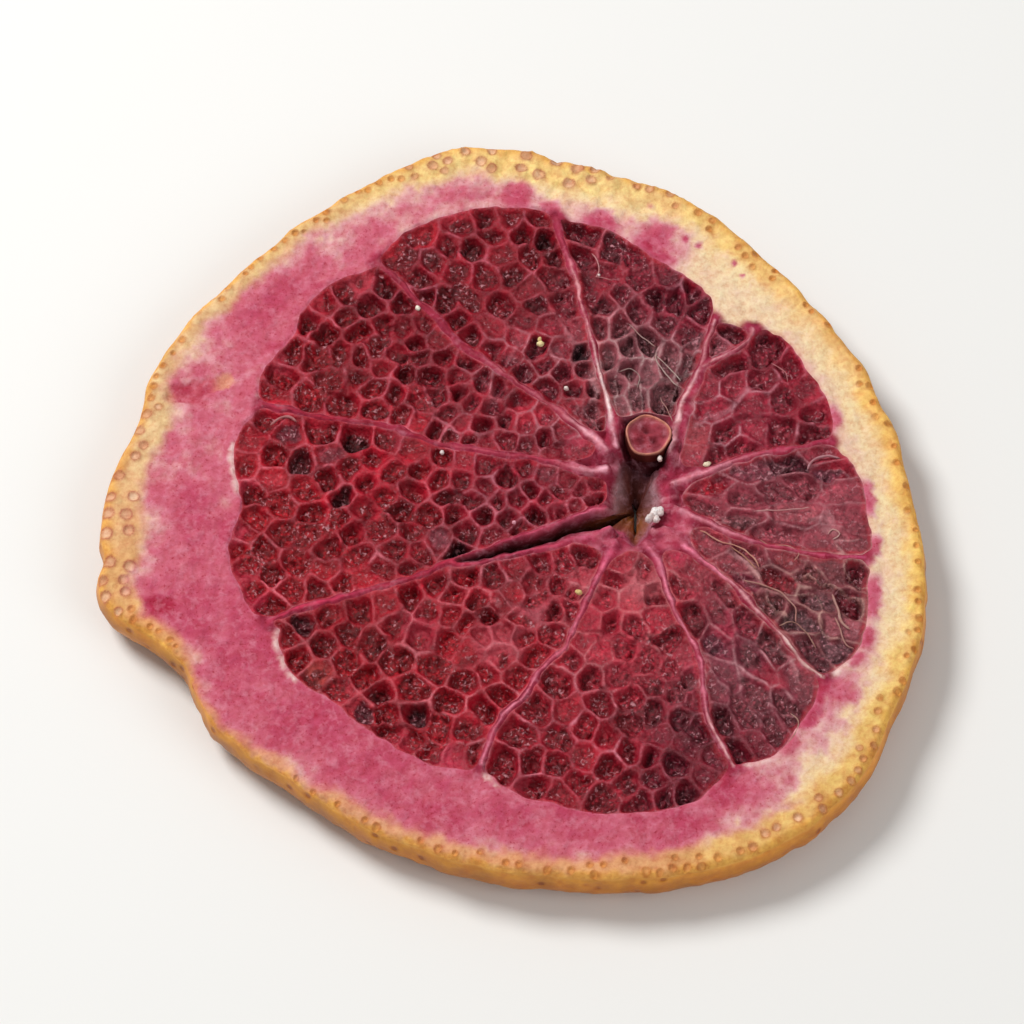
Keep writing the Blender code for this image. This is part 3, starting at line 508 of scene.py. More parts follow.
def bearing(places):
    """Which way places lie from the core, in radians."""
    return np.arctan2(places[:, 1] - CORE[1], places[:, 0] - CORE[0])


def patch(places, x, y, radius, spread=1.0):
    """A round patch, from 1 in its middle to 0 past its soft edge."""
    return np.exp(-((away_from(x, y, places) / radius * spread) ** 4))


# ---- The plan, as the CAD model has it ----


def resampled(points, spacing, closed):
    """The same path with its points at an even spacing."""
    path = np.array(points + points[:1] if closed else points, float)
    along = np.concatenate([[0.0], np.cumsum(np.hypot(*np.diff(path, axis=0).T))])
    count = max(2, round(along[-1] / spacing)) + 1
    stations = np.linspace(0.0, along[-1], count)[: count - 1 if closed else count]
    return list(zip(*(np.interp(stations, along, values).tolist() for values in path.T)))


def spline(points, closed, steps):
    """A Catmull-Rom curve through the points, with the given number of steps from each to the next."""
    count = len(points)
    dense = []
    for i in range(count if closed else count - 1):
        near = [(i + k) % count if closed else min(max(i + k, 0), count - 1) for k in (-1, 0, 1, 2)]
        a, b, c, d = (np.array(points[k], float) for k in near)
        for t in np.arange(steps) / steps:
            bend = 2 * b + (c - a) * t + (2 * a - 5 * b + 4 * c - d) * t**2 + (3 * b - a - 3 * c + d) * t**3
            dense.append(tuple(0.5 * bend))
    return dense if closed else dense + [points[-1]]


def smooth_path(points, spacing, closed):
    """A Catmull-Rom curve through the points, at an even spacing."""
    return resampled(spline(points, closed, 8), spacing, closed)


def drawn_in(path, distance):
    """A closed path moved inwards, square to itself."""
    path = np.array(path)
    run = np.roll(path, -1, axis=0) - np.roll(path, 1, axis=0)
    run /= np.hypot(*run.T)[:, None]
    return path + distance * np.stack([-run[:, 1], run[:, 0]], axis=1)


def corners_cut(points):
    """One round of corner cutting on a closed path."""
    cut = []
    for (ax, ay), (bx, by) in zip(points, points[1:] + points[:1]):
        cut.append((0.75 * ax + 0.25 * bx, 0.75 * ay + 0.25 * by))
        cut.append((0.25 * ax + 0.75 * bx, 0.25 * ay + 0.75 * by))
    return cut


def core_distance(point):
    """How far one point is from the core."""
    return math.hypot(point[0] - CORE[0], point[1] - CORE[1])


def membrane_half_width(point):
    """A membrane is thin along its run and thickens into the core."""
    return MEMBRANE_HALF_WIDTH + MEMBRANE_FLARE * math.exp(-max(core_distance(point) - 4.0, 0.0) / 3.0)


def membrane_side(name, side, start):
    """One side of a membrane (1 for its left, looking outwards), from the distance start from the core."""
    path = np.array(smooth_path(MEMBRANES[name], 0.9, closed=False))
    run = np.gradient(path, axis=0)
    run /= np.hypot(*run.T)[:, None]
    shifted = []
    for (x, y), (dx, dy) in zip(path, run):
        width = membrane_half_width((x, y)) * side
        shifted.append((x - dy * width, y + dx * width))
    return [point for point in shifted if core_distance(point) > start]


def segment_loop(clockwise, anticlockwise, tip, lobe, spacing):
    """The outline of a segment, anticlockwise: up one membrane, round its outer end and down the next."""
    start = max(core_distance(point) for point in tip) + 0.5
    up = membrane_side(clockwise, 1, start)
    down = membrane_side(anticlockwise, -1, start)
    return resampled(corners_cut(up + lobe + down[::-1] + tip), spacing, closed=True)


def fine_loop(loop, spacing):
    """A segment's outline at an even spacing, with the small lobes of its outermost cells."""
    path = np.array(smooth_path(loop, spacing, closed=True))
    outward = path - drawn_in(path, 1.0)
    outward /= np.hypot(*outward.T)[:, None]
    lobes = 0.14 * ripple(path, 1.6, 12) + 0.08 * ripple(path, 0.7, 13)
    lobes *= smoothstep(5.0, 9.0, away_from(*CORE, path))
    return rounded_off(path + outward * lobes[:, None])


def rounded_off(path):
    """A path as a list of rounded points."""
    return [(round(float(x), 5), round(float(y), 5)) for x, y in path]


def inside(loop, points):
    """Which points lie inside a closed path."""
    points = np.asarray(points, float)
    found = np.zeros(len(points), bool)
    for (ax, ay), (bx, by) in zip(loop, loop[1:] + loop[:1]):
        if ay != by:
            crosses = (ay > points[:, 1]) != (by > points[:, 1])
            found ^= crosses & (points[:, 0] < (bx - ax) * (points[:, 1] - ay) / (by - ay) + ax)
    return found


def within(loops, points):
    """Which points lie inside the first of some closed paths and outside the others."""
    found = inside(loops[0], points)
    for hole in loops[1:]:
        found &= ~inside(hole, points)
    return found


def clearance(loop, points):
    """How far each point is from a closed path."""
    points = np.asarray(points, float)
    nearest = np.full(len(points), np.inf)
    for a, b in zip(loop, loop[1:] + loop[:1]):
        a, b = np.array(a), np.array(b)
        span = b - a
        t = np.clip((points - a) @ span / max(span @ span, 1e-12), 0.0, 1.0)
        nearest = np.minimum(nearest, np.hypot(*(points - a - t[:, None] * span).T))
    return nearest


def rough_rim(rng):
    """The rim on the cut face, pebbled by the oil glands under the skin."""
    spacing = 2.05
    length = spacing * len(smooth_path(RIM, spacing, closed=True))
    path = np.array(smooth_path(RIM, length / RIM_SAMPLES, closed=True))
    bumps = rng.uniform(-RIM_ROUGHNESS, RIM_ROUGHNESS, len(path))
    return path + (drawn_in(path, 1.0) - path) * bumps[:, None]


def jittered_grid(loop, pitch, rng):
    """Points on a triangular grid inside a closed path, each nudged a little."""
    low, high = np.min(loop, axis=0), np.max(loop, axis=0)
    points = []
    for i, y in enumerate(np.arange(low[1], high[1], pitch * 0.866)):
        x = np.arange(low[0] + pitch * 0.5 * (i % 2), high[0], pitch)
        points.append(np.column_stack([x, np.full(len(x), y)]))
    points = np.concatenate(points)
    points = points + rng.uniform(-GRID_NUDGE, GRID_NUDGE, points.shape) * pitch
    return points[inside(loop, points)]


class Gauge:
    """How far places are from some paths."""

    def __init__(self, paths, closed=True, step=0.06):
        self.tree = tree_of([p for path in paths for p in resampled(list(path), step, closed)])

    def __call__(self, places):
        return np.array([self.tree.find((x, y, 0.0))[2] for x, y in np.asarray(places)[:, :2]])


def tree_of(points):
    """A search tree of points in the plan."""
    tree = kdtree.KDTree(len(points))
    for i, (x, y) in enumerate(points):
        tree.insert((x, y, 0.0), i)
    tree.balance()
    return tree


def numbers_near(spots, path):
    """The numbers of the spots on a path, in its order."""
    tree = tree_of(spots[:, :2])
    numbers = [tree.find((x, y, 0.0))[1] for x, y in path]
    return [k for i, k in enumerate(numbers) if k != numbers[i - 1]]


# ---- Heights ----


def swell(x, y):
    """The gentle warp that a slice takes on as it dries."""
    return 0.16 * np.sin(x / 11.0 + 0.6) * np.cos(y / 13.0) + 0.1 * np.sin(y / 8.0 - x / 17.0)


def face_level(places):
    """The height of the pith on the cut face: it dips into the core."""
    x, y = places[:, 0], places[:, 1]
    return THICKNESS - 0.3 + swell(x, y) - 0.9 * np.exp(-away_from(*CORE, places) / 3.2)


def crest_level(places):
    """The height of the cell walls' crests, and of the pulp where it meets a membrane."""
    return face_level(places) - CELL_SINK + 0.1 * ripple(places, 2.1, 5) + 0.07 * ripple(places, 0.8, 6)


# ---- Meshes ----


class Skin:
    """Points, faces and the values that the materials read, gathered for one piece."""

    def __init__(self):
        self.points, self.tints, self.relief = [], [], []
        self.faces, self.sheets = [], []
        self.count = 0

    def add(self, points, tints, relief):
        """Adds points with a colour and a relief value each, and returns their numbers."""
        points = np.asarray(points, float)
        if isinstance(tints, str):
            tints = linear(tints)
        self.points.append(points)
        self.tints.append(np.broadcast_to(tints, (len(points), 3)))
        self.relief.append(np.broadcast_to(relief, len(points)))
        self.count += len(points)
        return np.arange(self.count - len(points), self.count)

    def cover(self, faces, sheet, flipped=False):
        """Adds faces on one sheet of the texture layout."""
        self.faces += [tuple(int(k) for k in (face[::-1] if flipped else face)) for face in faces]
        self.sheets += [sheet] * len(faces)

    def places(self):
        return np.concatenate(self.points)


def sheet_faces(loops, extra):
    """Triangles through the extra points, inside the first loop, outside the others, facing up."""
    places, edges = [], []
    for loop in loops:
        edges += [(len(places) + k, len(places) + (k + 1) % len(loop)) for k in range(len(loop))]
        places += loop
    places += [tuple(p) for p in extra]
    found = geometry.delaunay_2d_cdt([Vector(p) for p in places], edges, [], 0, 1e-5, True)
    spots = np.array([tuple(p) for p in found[0]])
    faces = np.array([tuple(face) for face in found[2]])
    faces = faces[within(loops, spots[faces].mean(axis=1))]
    a, b, c = spots[faces[:, 0]], spots[faces[:, 1]], spots[faces[:, 2]]
    turned = (b[:, 0] - a[:, 0]) * (c[:, 1] - a[:, 1]) - (b[:, 1] - a[:, 1]) * (c[:, 0] - a[:, 0]) < 0
    faces[turned] = faces[turned][:, ::-1]
    return spots, faces


def add_wall(skin, upper, lower, sheet, outward):
    """A wall between two closed runs of points that go the same way, whatever their numbers of points."""
    places = skin.places()

    def progress(row):
        ring = places[np.append(row, row[0])]
        steps = np.linalg.norm(np.diff(ring, axis=0), axis=1)
        return np.concatenate([[0.0], np.cumsum(steps)]) / steps.sum()

    lower = np.roll(lower, -np.argmin(away_from(*places[upper[0]][:2], places[lower])))
    above, below = progress(upper), progress(lower)
    faces = []
    i = j = 0
    while i < len(upper) or j < len(lower):
        a, b = upper[i % len(upper)], lower[j % len(lower)]
        if j >= len(lower) or (i < len(upper) and above[i + 1] <= below[j + 1]):
            faces.append((a, b, upper[(i + 1) % len(upper)]))
            i += 1
        else:
            faces.append((a, b, lower[(j + 1) % len(lower)]))
            j += 1
    skin.cover(faces, sheet, flipped=not outward)


def add_bands(skin, rows, sheet, outward=True):
    """The bands of faces between closed rows of points that match one to one."""
    for upper, lower in zip(rows, rows[1:]):
        corners = zip(upper, lower, np.roll(lower, -1), np.roll(upper, -1))
        skin.cover(list(corners), sheet, flipped=not outward)


# ---- Pulp ----

PULP_COLOURS = [np.concatenate([linear(code) for code in look[2:5]]) for look in PULP_LOOKS]
LID_SHARES = [look[5] for look in PULP_LOOKS]
STRINGINESS = [look[6] for look in PULP_LOOKS]


class Cells:
    """The juice cells that fill a segment: large ones among small ones, longer than wide along it."""

    def __init__(self, loop, pitch_in, pitch_out, length, rng):
        self.loop = loop
        middle = np.mean(loop, axis=0)
        axis = (middle - CORE) / core_distance(middle)
        self.squeeze = np.eye(2) + (1.0 / length - 1.0) * np.outer(axis, axis)
        darts = rng.uniform(np.min(loop, axis=0), np.max(loop, axis=0), (DARTS, 2))
        darts = darts[inside(loop, darts)]
        outwards = np.clip((away_from(*CORE, darts) - 5.0) / 20.0, 0.0, 1.0)
        pitches = (pitch_in + (pitch_out - pitch_in) * outwards) / math.sqrt(length)
        pitches *= rng.choice(CELL_SPREAD, len(darts))
        self.marked = [cell for cell in MARKED_CELLS if inside(loop, [cell[:2]])[0]]
        darts = np.array([cell[:2] for cell in self.marked] + list(darts))
        pitches = np.array([cell[2] / math.sqrt(length) for cell in self.marked] + list(pitches))
        usable = clearance(loop, darts) > 0.3 * pitches
        usable[: len(self.marked)] = True
        ground = darts @ self.squeeze
        kept = []
        for k in np.flatnonzero(usable):
            away = np.hypot(*(ground[kept] - ground[k]).T)
            if (away > CELL_CROWDING * (pitches[kept] + pitches[k]) / 2).all():
                kept.append(k)
        own = ((ground[:, None] - ground[kept]) ** 2).sum(axis=2).argmin(axis=1)
        self.centres = np.array([ground[own == k].mean(axis=0) for k in range(len(kept))])
        self.set_kinds(rng)

    def set_kinds(self, rng):
        """Each cell's depth and brightness, how clear its pale crest line (partly painted highlight) is, its
        wall's thickness and any floor of its own.
        """
        count = len(self.centres)
        plan = self.centres @ np.linalg.inv(self.squeeze)
        lids = rng.uniform(size=count) < by_place(PULP_LOOKS, plan, LID_SHARES)
        self.depths = np.where(lids, rng.uniform(*LID_DEPTH, count), rng.uniform(*CELL_DEPTH, count))
        self.glow = rng.uniform(0.75, 1.3, count)
        self.ring = rng.uniform(0.0, 1.0, count) ** 2
        self.thick = rng.uniform(-0.14, 0.14, count)
        self.floors = np.full((count, 3), np.nan)
        for x, y, _, depth, code in self.marked:
            k = away_from(x, y, plan).argmin()
            self.depths[k], self.glow[k], self.ring[k], self.floors[k] = depth, 1.0, 0.8, linear(code)

    def measure(self, places):
        """Each place's cell, how deep in it lies, and how far the nearest wall and the edge are."""
        bent = places + 0.2 * np.column_stack([ripple(places, 1.6, 17), ripple(places, 1.6, 18)])
        apart = (((bent @ self.squeeze)[:, None] - self.centres) ** 2).sum(axis=2)
        order = np.argsort(apart, axis=1)[:, :NEAR_CELLS]
        near = np.take_along_axis(apart, order, axis=1)
        own = order[:, 0]
        spans = (self.centres[order[:, 1:]] - self.centres[own][:, None]) @ self.squeeze
        edge = clearance(self.loop, places)
        walls = (near[:, 1:] - near[:, :1]) / (2 * np.hypot(spans[..., 0], spans[..., 1]))
        walls = np.column_stack([walls, edge])
        rounded = -np.log(np.exp(-CORNER_SHARPNESS * walls).sum(axis=1)) / CORNER_SHARPNESS
        return own, np.minimum(np.maximum(rounded, 0.0), edge), walls.min(axis=1), edge


def torn_walls(places):
    """Torn strings of wall that lie over the cells, from 0 to 1, running out from the core."""
    noise = partial(ripple, places)
    round_core = 11.0 * bearing(places) + 0.5 * noise(2.4, 25)
    outwards = 0.34 * away_from(*CORE, places) + 0.4 * noise(1.9, 26)
    string = np.exp(-((ripple(np.column_stack([round_core, outwards]), 1.0, 27) / 0.07) ** 2))
    stringy = by_place(PULP_LOOKS, places, STRINGINESS)
    return string * np.clip(stringy * smoothstep(-0.5, 0.3, noise(2.1, 28)), 0.0, 1.0)


def pulp_face(skin, cells, grain, top, rng):
    """Adds one face of a segment's pulp, hollow cells between crimson walls, and returns its edge's run."""
    grid = jittered_grid(cells.loop, grain, rng)
    spots, faces = sheet_faces([cells.loop], grid[clearance(cells.loop, grid) > 0.6 * grain])
    noise = partial(ripple, spots)
    own, depth_in, from_wall, edge = cells.measure(spots)
    widest = np.zeros(len(cells.centres))
    np.maximum.at(widest, own, depth_in)
    reach = np.clip(0.7 * widest[own], 0.22, 0.55)
    fall = smoothstep(0.03, reach, depth_in + 0.06 * noise(0.5, 23))
    depth = cells.depths[own]
    lid = smoothstep(0.5, 0.3, depth)
    rough = 0.26 * noise(0.62, 31) + 0.24 * noise(0.35, 32)
    gone = smoothstep(0.05, 0.6, 0.8 * noise(2.3, 33) + 0.5 * noise(0.8, 46)) * smoothstep(0.2, 0.8, edge)
    broken = 0.5 * gone * np.exp(-((depth_in / 0.45) ** 2))
    spread = 1 + 0.3 * noise(1.0, 44)
    shares = [patch(spots, x, y, radius, spread) for x, y, radius, _ in FLUSHED]
    flushed = np.max(shares, axis=0)
    string = torn_walls(spots)
    dip = (depth * fall + fall * (1 - 0.75 * lid) * rough) * (1 - 0.35 * flushed) + broken
    dip = dip * (1 - 0.85 * string) + 0.06 * fall * noise(0.4, 34)

    crest, side, floor = np.split(by_place(PULP_LOOKS, spots, PULP_COLOURS), 3, axis=1)
    named = cells.floors[own]
    floor = np.where(np.isnan(named), floor * cells.glow[own][:, None], named)
    wall = cells.thick[own] + 0.3 * flushed - 0.3 * gone
    deep = smoothstep(0.17, 0.5, depth_in - wall + 0.22 * noise(0.7, 35))
    side = side * (1 + 0.22 * noise(4.1, 47) + 0.25 * noise(1.3, 36) + 0.2 * noise(0.5, 37))[:, None]
    lidded = lerp(floor, side, 0.3) * (1.15 + 0.2 * noise(0.9, 38))[:, None]
    colour = lerp(side, lerp(floor, lidded, lid), deep)
    by_edge = smoothstep(0.6, 0.1, edge + 0.25 * noise(0.9, 42))
    colour = lerp(colour, "A41226", 0.5 * by_edge * (1 - 0.5 * deep))
    for share, (_, _, _, code) in zip(shares, FLUSHED):
        colour = lerp(colour, code, 0.9 * share * (1 - 0.75 * deep))
    colour = colour * (1 + 0.12 * noise(0.45, 45))[:, None]
    # Pale crest lines, clear on some walls and faint on others: partly the walls' pink edges, partly painted
    # highlight.
    clear = smoothstep(0.0, 0.8, noise(1.8, 39) + 0.6 * noise(0.6, 40))
    line = np.exp(-((from_wall / (0.1 + 0.05 * noise(1.1, 41))) ** 2))
    ring = 0.1 + 0.9 * np.maximum(clear, 0.7 * cells.ring[own])
    colour = lerp(colour, crest, np.clip(0.85 * line * ring * (1 - 0.7 * gone) + 0.75 * string, 0, 1))

    level = crest_level(spots) - dip if top else 0.02 + dip + 0.05 * (1 - fall)
    points = np.column_stack([spots, np.maximum(level, 0.02)])
    numbers = skin.add(points, colour, np.clip(1.0 - deep + 0.5 * lid * deep, 0, 1))
    skin.cover(numbers[faces], CUT_FACE if top else UNDERSIDE, flipped=not top)
    return numbers[numbers_near(spots, cells.loop)]


# ---- Rind and membranes ----


def oil_glands(rim, rng):
    """The oil glands cut open along the peel: (x, y, radius, how pale its middle is)."""
    inward = drawn_in(rim, 1.0) - rim
    widths = at_places(PEEL_WIDTHS, rim)
    glands = []
    for row in range(3):
        for (x, y), (dx, dy), width in zip(rim, inward, widths):
            depth = 0.5 + 0.85 * row + rng.uniform(-0.25, 0.25)
            radius = rng.uniform(0.17, 0.27) + 0.055 * width + 0.1 * smoothstep(2.2, 3.0, width)
            if depth + 0.35 > width or rng.uniform() < 0.7:
                continue
            place = (x + dx * depth, y + dy * depth)
            if all(math.dist(place, other[:2]) > 1.25 * (radius + other[2]) + 0.1 for other in glands):
                pale = rng.uniform(0.3, 0.9) * smoothstep(1.8, 2.6, width) * (0.6 if row == 0 else 1.0)
                glands.append((*place, radius, pale))
    return glands


def pith_colour(places, more=0.0):
    """Cream where the pith is dry, through pink to crimson where juice has soaked it."""
    noise = partial(ripple, places)
    soak = at_places(PITH_SOAK, places)
    uneven = 0.35 + 0.65 * smoothstep(0.08, 0.4, soak)
    soak = soak + uneven * (0.15 * noise(3.1, 61) + 0.13 * noise(1.2, 62) + 0.1 * noise(0.45, 63))
    ragged = 1 + 0.25 * noise(0.9, 64) + 0.12 * noise(0.4, 69)
    for x, y, radius, strength in STAINS:
        soak = soak + 0.75 * strength * patch(places, x, y, radius, ragged)
    soak = soak + more
    colour = lerp("EDD2AC", "DEA9A8", smoothstep(0.0, 0.32, soak))
    for low, high, code in ((0.22, 0.6, "C96479"), (0.55, 0.95, "BA4662"), (0.95, 1.4, "AC2C48")):
        colour = lerp(colour, code, smoothstep(low, high, soak))
    return colour


class Web:
    """The tissue round the segments: its height and colour at any place on the cut face."""

    def __init__(self, rim, void, edges, glands):
        self.rim, self.pulp, self.void = Gauge([rim]), Gauge(edges), Gauge([void])
        runs = [smooth_path(path, 0.5, closed=False) for path in MEMBRANES.values()]
        self.membranes = Gauge(runs, closed=False)
        self.glands = glands

    def measure(self, places):
        """Takes the places to be asked about, and works out how far they are from each thing."""
        self.places = places
        self.noise = noise = partial(ripple, places)
        x, y = places[:, 0], places[:, 1]
        self.from_rim, self.from_pulp = self.rim(places), self.pulp(places)
        self.from_void, self.from_membrane = self.void(places), self.membranes(places)
        self.from_core = away_from(*CORE, places)
        self.at_core = smoothstep(6.5, 4.5, np.hypot(x - CORE[0], 0.8 * (y - 2.2)))
        width = 0.14 + 0.04 * noise(1.4, 44) + 0.12 * smoothstep(15.0, 4.0, self.from_core)
        ragged = self.from_membrane + 0.07 * noise(0.5, 46)
        self.on_membrane = np.exp(-((ragged / width) ** 2)) * (0.78 + 0.22 * noise(1.7, 47))
        self.on_membrane *= np.maximum(smoothstep(1.1, 0.6, self.from_pulp), self.at_core)
        widths = self.peel_width = at_places(PEEL_WIDTHS, places)
        ragged = self.from_rim + 0.4 * noise(1.5, 41) + 0.3 * noise(0.6, 42)
        self.on_peel = smoothstep(widths + 0.9, widths - 0.7, ragged)
        self.by_peel = smoothstep(2.6, 0.0, ragged - widths + 0.3 * noise(1.1, 49))
        self.ring, self.well, self.pale_well = np.zeros((3, len(places)))
        for gx, gy, radius, pale in self.glands:
            away = away_from(gx, gy, places) / radius
            well = smoothstep(1.0, 0.55, away)
            self.ring = np.maximum(self.ring, np.exp(-(((away - 1.0) / 0.26) ** 2)))
            self.well = np.maximum(self.well, well)
            self.pale_well = np.maximum(self.pale_well, well * pale)
        self.from_pip = away_from(*PIP_CENTRE, places) / PIP_RADIUS
        (ax, ay), (bx, by) = FLAKE
        along = ((x - ax) * (bx - ax) + (y - ay) * (by - ay)) / ((bx - ax) ** 2 + (by - ay) ** 2)
        along = np.clip(along, 0, 1)
        away = np.hypot(x - ax - along * (bx - ax), y - ay - along * (by - ay)) / (1.05 - 0.3 * along)
        self.on_flake = smoothstep(1.15, 0.75, away * (1 + 0.4 * noise(1.4, 43)))
        # Strands that run out from the core.
        flow = [3.6 * bearing(places), 0.16 * self.from_core + 0.1 * noise(1.2, 45)]
        self.fibres = ripple(np.column_stack(flow), 0.3, 58)

    def height(self):
        """How high the tissue stands at each place."""
        noise = self.noise
        x, y = self.places[:, 0], self.places[:, 1]
        torn = smoothstep(24.0, 30.0, y) * smoothstep(17.0, 8.0, np.abs(x - 5.0))
        sponge = 0.1 * noise(0.55, 51) + 0.1 * noise(1.3, 52) + 0.1 * noise(4.5, 53)
        sponge += torn * (0.2 * noise(0.9, 54) + 0.14 * noise(0.45, 55))
        open_pith = smoothstep(0.3, 1.2, self.from_pulp) * (1 - self.at_core)
        level = face_level(self.places) + sponge * (0.2 + 0.8 * open_pith) - 0.14 * open_pith
        rounded = 0.42 * smoothstep(0.55, 0.0, self.from_rim) ** 2
        level += self.on_peel * (0.12 + 0.05 * noise(0.45, 56)) - rounded
        level += (0.06 * self.ring - 0.15 * self.well) * self.on_peel
        level -= self.on_flake * (0.22 + 0.12 * noise(0.8, 57))
        level += MEMBRANE_RISE * self.on_membrane * (0.3 + 0.9 * np.exp(-self.from_core / 12.0))
        gulley = smoothstep(0.35, 1.0, self.from_membrane) * self.at_core
        level -= gulley * (1.0 + 0.45 * noise(0.9, 59)) - 0.3 * self.at_core * self.fibres
        beside = smoothstep(1.35, 1.08, self.from_pip) * smoothstep(0.95, 1.05, self.from_pip)
        front = smoothstep(-0.7, -1.7, y - PIP_CENTRE[1] + 0.35 * (x - PIP_CENTRE[0]))
        level -= beside * (0.05 + 1.9 * front)
        level -= 1.3 * smoothstep(1.05, 0.95, self.from_pip)
        level -= (0.45 + 0.25 * noise(0.8, 60)) * smoothstep(0.7, 0.0, self.from_void) ** 2
        level = np.minimum(level, CAD_TOP)
        blend = smoothstep(0.0, 0.25, self.from_pulp)
        return crest_level(self.places) * (1 - blend) + level * blend

    def pith(self):
        """The pith's colour, with juice crept out of the pulp, bare lining and the flake."""
        places, noise = self.places, self.noise
        crept = [strength * patch(places, x, y, reach) for x, y, reach, strength in CREEP]
        ragged = self.from_pulp + 0.35 * noise(0.9, 75) + 0.2 * noise(0.4, 76)
        more = 0.8 * np.max(crept, axis=0) * smoothstep(1.3, 0.5, ragged) - 0.24 * self.by_peel
        colour = pith_colour(places, more)
        colour = lerp(colour, "F0D092", 0.6 * self.by_peel * smoothstep(0.3, 0.55, colour[:, 1]))
        lining = smoothstep(0.55, 0.25, self.from_pulp + 0.2 * noise(0.6, 48))
        for x, y, radius in SLIVERS:
            colour = lerp(colour, "ECCDC6", 0.85 * (patch(places, x, y, radius) * lining))
        flake = lerp("A82C48", "C85E6C", 0.5 + 0.5 * noise(0.8, 70))
        tan_end = smoothstep(FLAKE[1][0] - 1.3, FLAKE[1][0] - 0.2, places[:, 0])
        flake = lerp(flake, "DE9C80", 0.9 * tan_end)
        return lerp(colour, flake, 0.95 * self.on_flake)

    def peel(self):
        """The golden cut edge of the peel: its glands are duller and pinker where it is broad."""
        noise = self.noise
        colour = at_places(PEEL_LOOKS, self.places)
        edge = smoothstep(0.42 * self.peel_width, 0.1, self.from_rim + 0.25 * noise(0.8, 71))
        colour = lerp(colour, "E8A644", 0.75 * edge)
        broad = smoothstep(2.0, 2.8, self.peel_width)
        colour = lerp(colour, lerp("C07030", "AE5C4C", broad), (0.65 + 0.15 * broad) * self.ring)
        colour = lerp(colour, lerp("D08A44", "D0906C", broad), 0.8 * self.well)
        colour = lerp(colour, "E8C0A0", self.pale_well)
        return colour * (1 + np.outer(0.14 * noise(0.5, 66) + 0.1 * noise(1.8, 67), (0.7, 1.0, 1.3)))

    def tint(self):
        """The colour at each place: pith, peel, membranes, and the hollow at the core."""
        noise = self.noise
        colour = lerp(self.pith(), self.peel(), self.on_peel)
        looks = at_places(MEMBRANE_LOOKS, self.places)
        looks *= (1 + 0.2 * noise(0.8, 68) + 0.16 * noise(0.3, 79))[:, None]
        flanks = lerp("7C1C34", "B23A56", 0.5 + 0.5 * noise(0.9, 72) + 0.3 * noise(0.4, 77))
        fibres = smoothstep(0.0, 0.7, self.fibres) * self.at_core
        flanks = lerp(flanks, "D88C9C", 0.85 * fibres * smoothstep(-0.6, 0.4, noise(1.3, 78)))
        between = smoothstep(1.2, 0.7, self.from_pulp) * smoothstep(2.4, 3.4, self.from_rim)
        between = between * smoothstep(1.4, 0.6, self.from_membrane)
        colour = lerp(colour, flanks, np.clip(np.maximum(between, self.at_core), 0, 1))
        # A membrane is palest along its raised middle: its own pale colour, partly a painted highlight along
        # the ridge, over a crimson base.
        streak = self.on_membrane * (0.75 + 0.25 * noise(0.25, 80))
        membrane = lerp("A62C48", looks, np.clip(0.35 + 0.95 * streak, 0, 1))
        colour = lerp(colour, membrane, np.clip(1.2 * self.on_membrane, 0, 1))
        below = smoothstep(0.0, -1.6, self.places[:, 1] - PIP_CENTRE[1])
        shadow = smoothstep(1.5, 1.15, self.from_pip) * (1 - 0.8 * self.on_membrane) * (0.35 + 0.65 * below)
        colour = lerp(colour, "4A1018", shadow)
        lip = smoothstep(0.3, 0.0, self.from_pulp)
        open_pith = smoothstep(0.7, 1.6, self.from_membrane)
        colour = lerp(colour, "8E1C30", 0.4 * lip * (1 - open_pith))
        colour = lerp(colour, "D87C94", 0.3 * lip * open_pith)
        opening = at_places(OPENING_LOOKS, self.places)
        return lerp(colour, opening, 0.9 * smoothstep(0.5, 0.05, self.from_void))


def add_upper_rind(skin, loops):
    """Adds the cut face of the rind with its membranes, and returns the runs of the rim, void and edges."""
    rim, void, *edges = loops
    rng = np.random.default_rng(SEED + 5)
    glands = oil_glands(rim, rng)
    web = Web(rim, void, edges, glands)
    grid = jittered_grid(rim, RIND_GRAIN, rng)
    grid = grid[within(loops, grid)]
    extra = [grid[(web.pulp(grid) > 0.26) & (web.rim(grid) > 0.12) & (web.void(grid) > 0.12)]]
    extra += [drawn_in(edge, -inset) for edge in edges for inset in (0.09, 0.19)]
    for inset in (0.12, 0.3):
        extra += [drawn_in(rim, inset), drawn_in(void, -inset)]
    for x, y, radius, _ in glands:
        for share, count in ((0.5, 7), (0.8, 11), (1.0, 12), (1.25, 12)):
            turn = np.arange(count) * 2 * math.pi / count + rng.uniform(0, 1)
            away = radius * share
            extra.append(np.column_stack([x + away * np.cos(turn), y + away * np.sin(turn)]))
    extra = np.concatenate(extra + [smooth_path(path, 0.25, closed=False) for path in MEMBRANES.values()])
    spots, faces = sheet_faces(loops, extra[within(loops, extra)])
    web.measure(spots)
    relief = np.maximum(web.on_peel, 0.5 * web.on_membrane)
    numbers = skin.add(np.column_stack([spots, web.height()]), web.tint(), relief)
    skin.cover(numbers[faces], CUT_FACE)
    return [numbers[numbers_near(spots, path)] for path in loops]


def add_lower_rind(skin, loops):
    """Adds the underside of the rind, flat on the table, and returns the runs of the foot, void and edges."""
    foot, _, *edges = loops
    near = Gauge(loops)
    grid = jittered_grid(foot, UNDERSIDE_GRAIN, np.random.default_rng(SEED + 6))
    grid = grid[within(loops, grid)]
    spots, faces = sheet_faces(loops, grid[near(grid) > 0.25])
    colour = lerp(pith_colour(spots), "A8405C", smoothstep(0.9, 0.2, Gauge(edges)(spots)))
    peel = smoothstep(2.1, 1.2, Gauge([foot])(spots) + 0.4 * ripple(spots, 1.4, 73))
    colour = lerp(colour, "E0AE62", peel)
    lift = 0.02 + 0.12 * smoothstep(0.3, 1.5, near(spots)) * (1 + ripple(spots, 1.5, 74))
    numbers = skin.add(np.column_stack([spots, lift]), colour, 0.3 * peel)
    skin.cover(numbers[faces], UNDERSIDE, flipped=True)
    return [numbers[numbers_near(spots, path)] for path in loops]


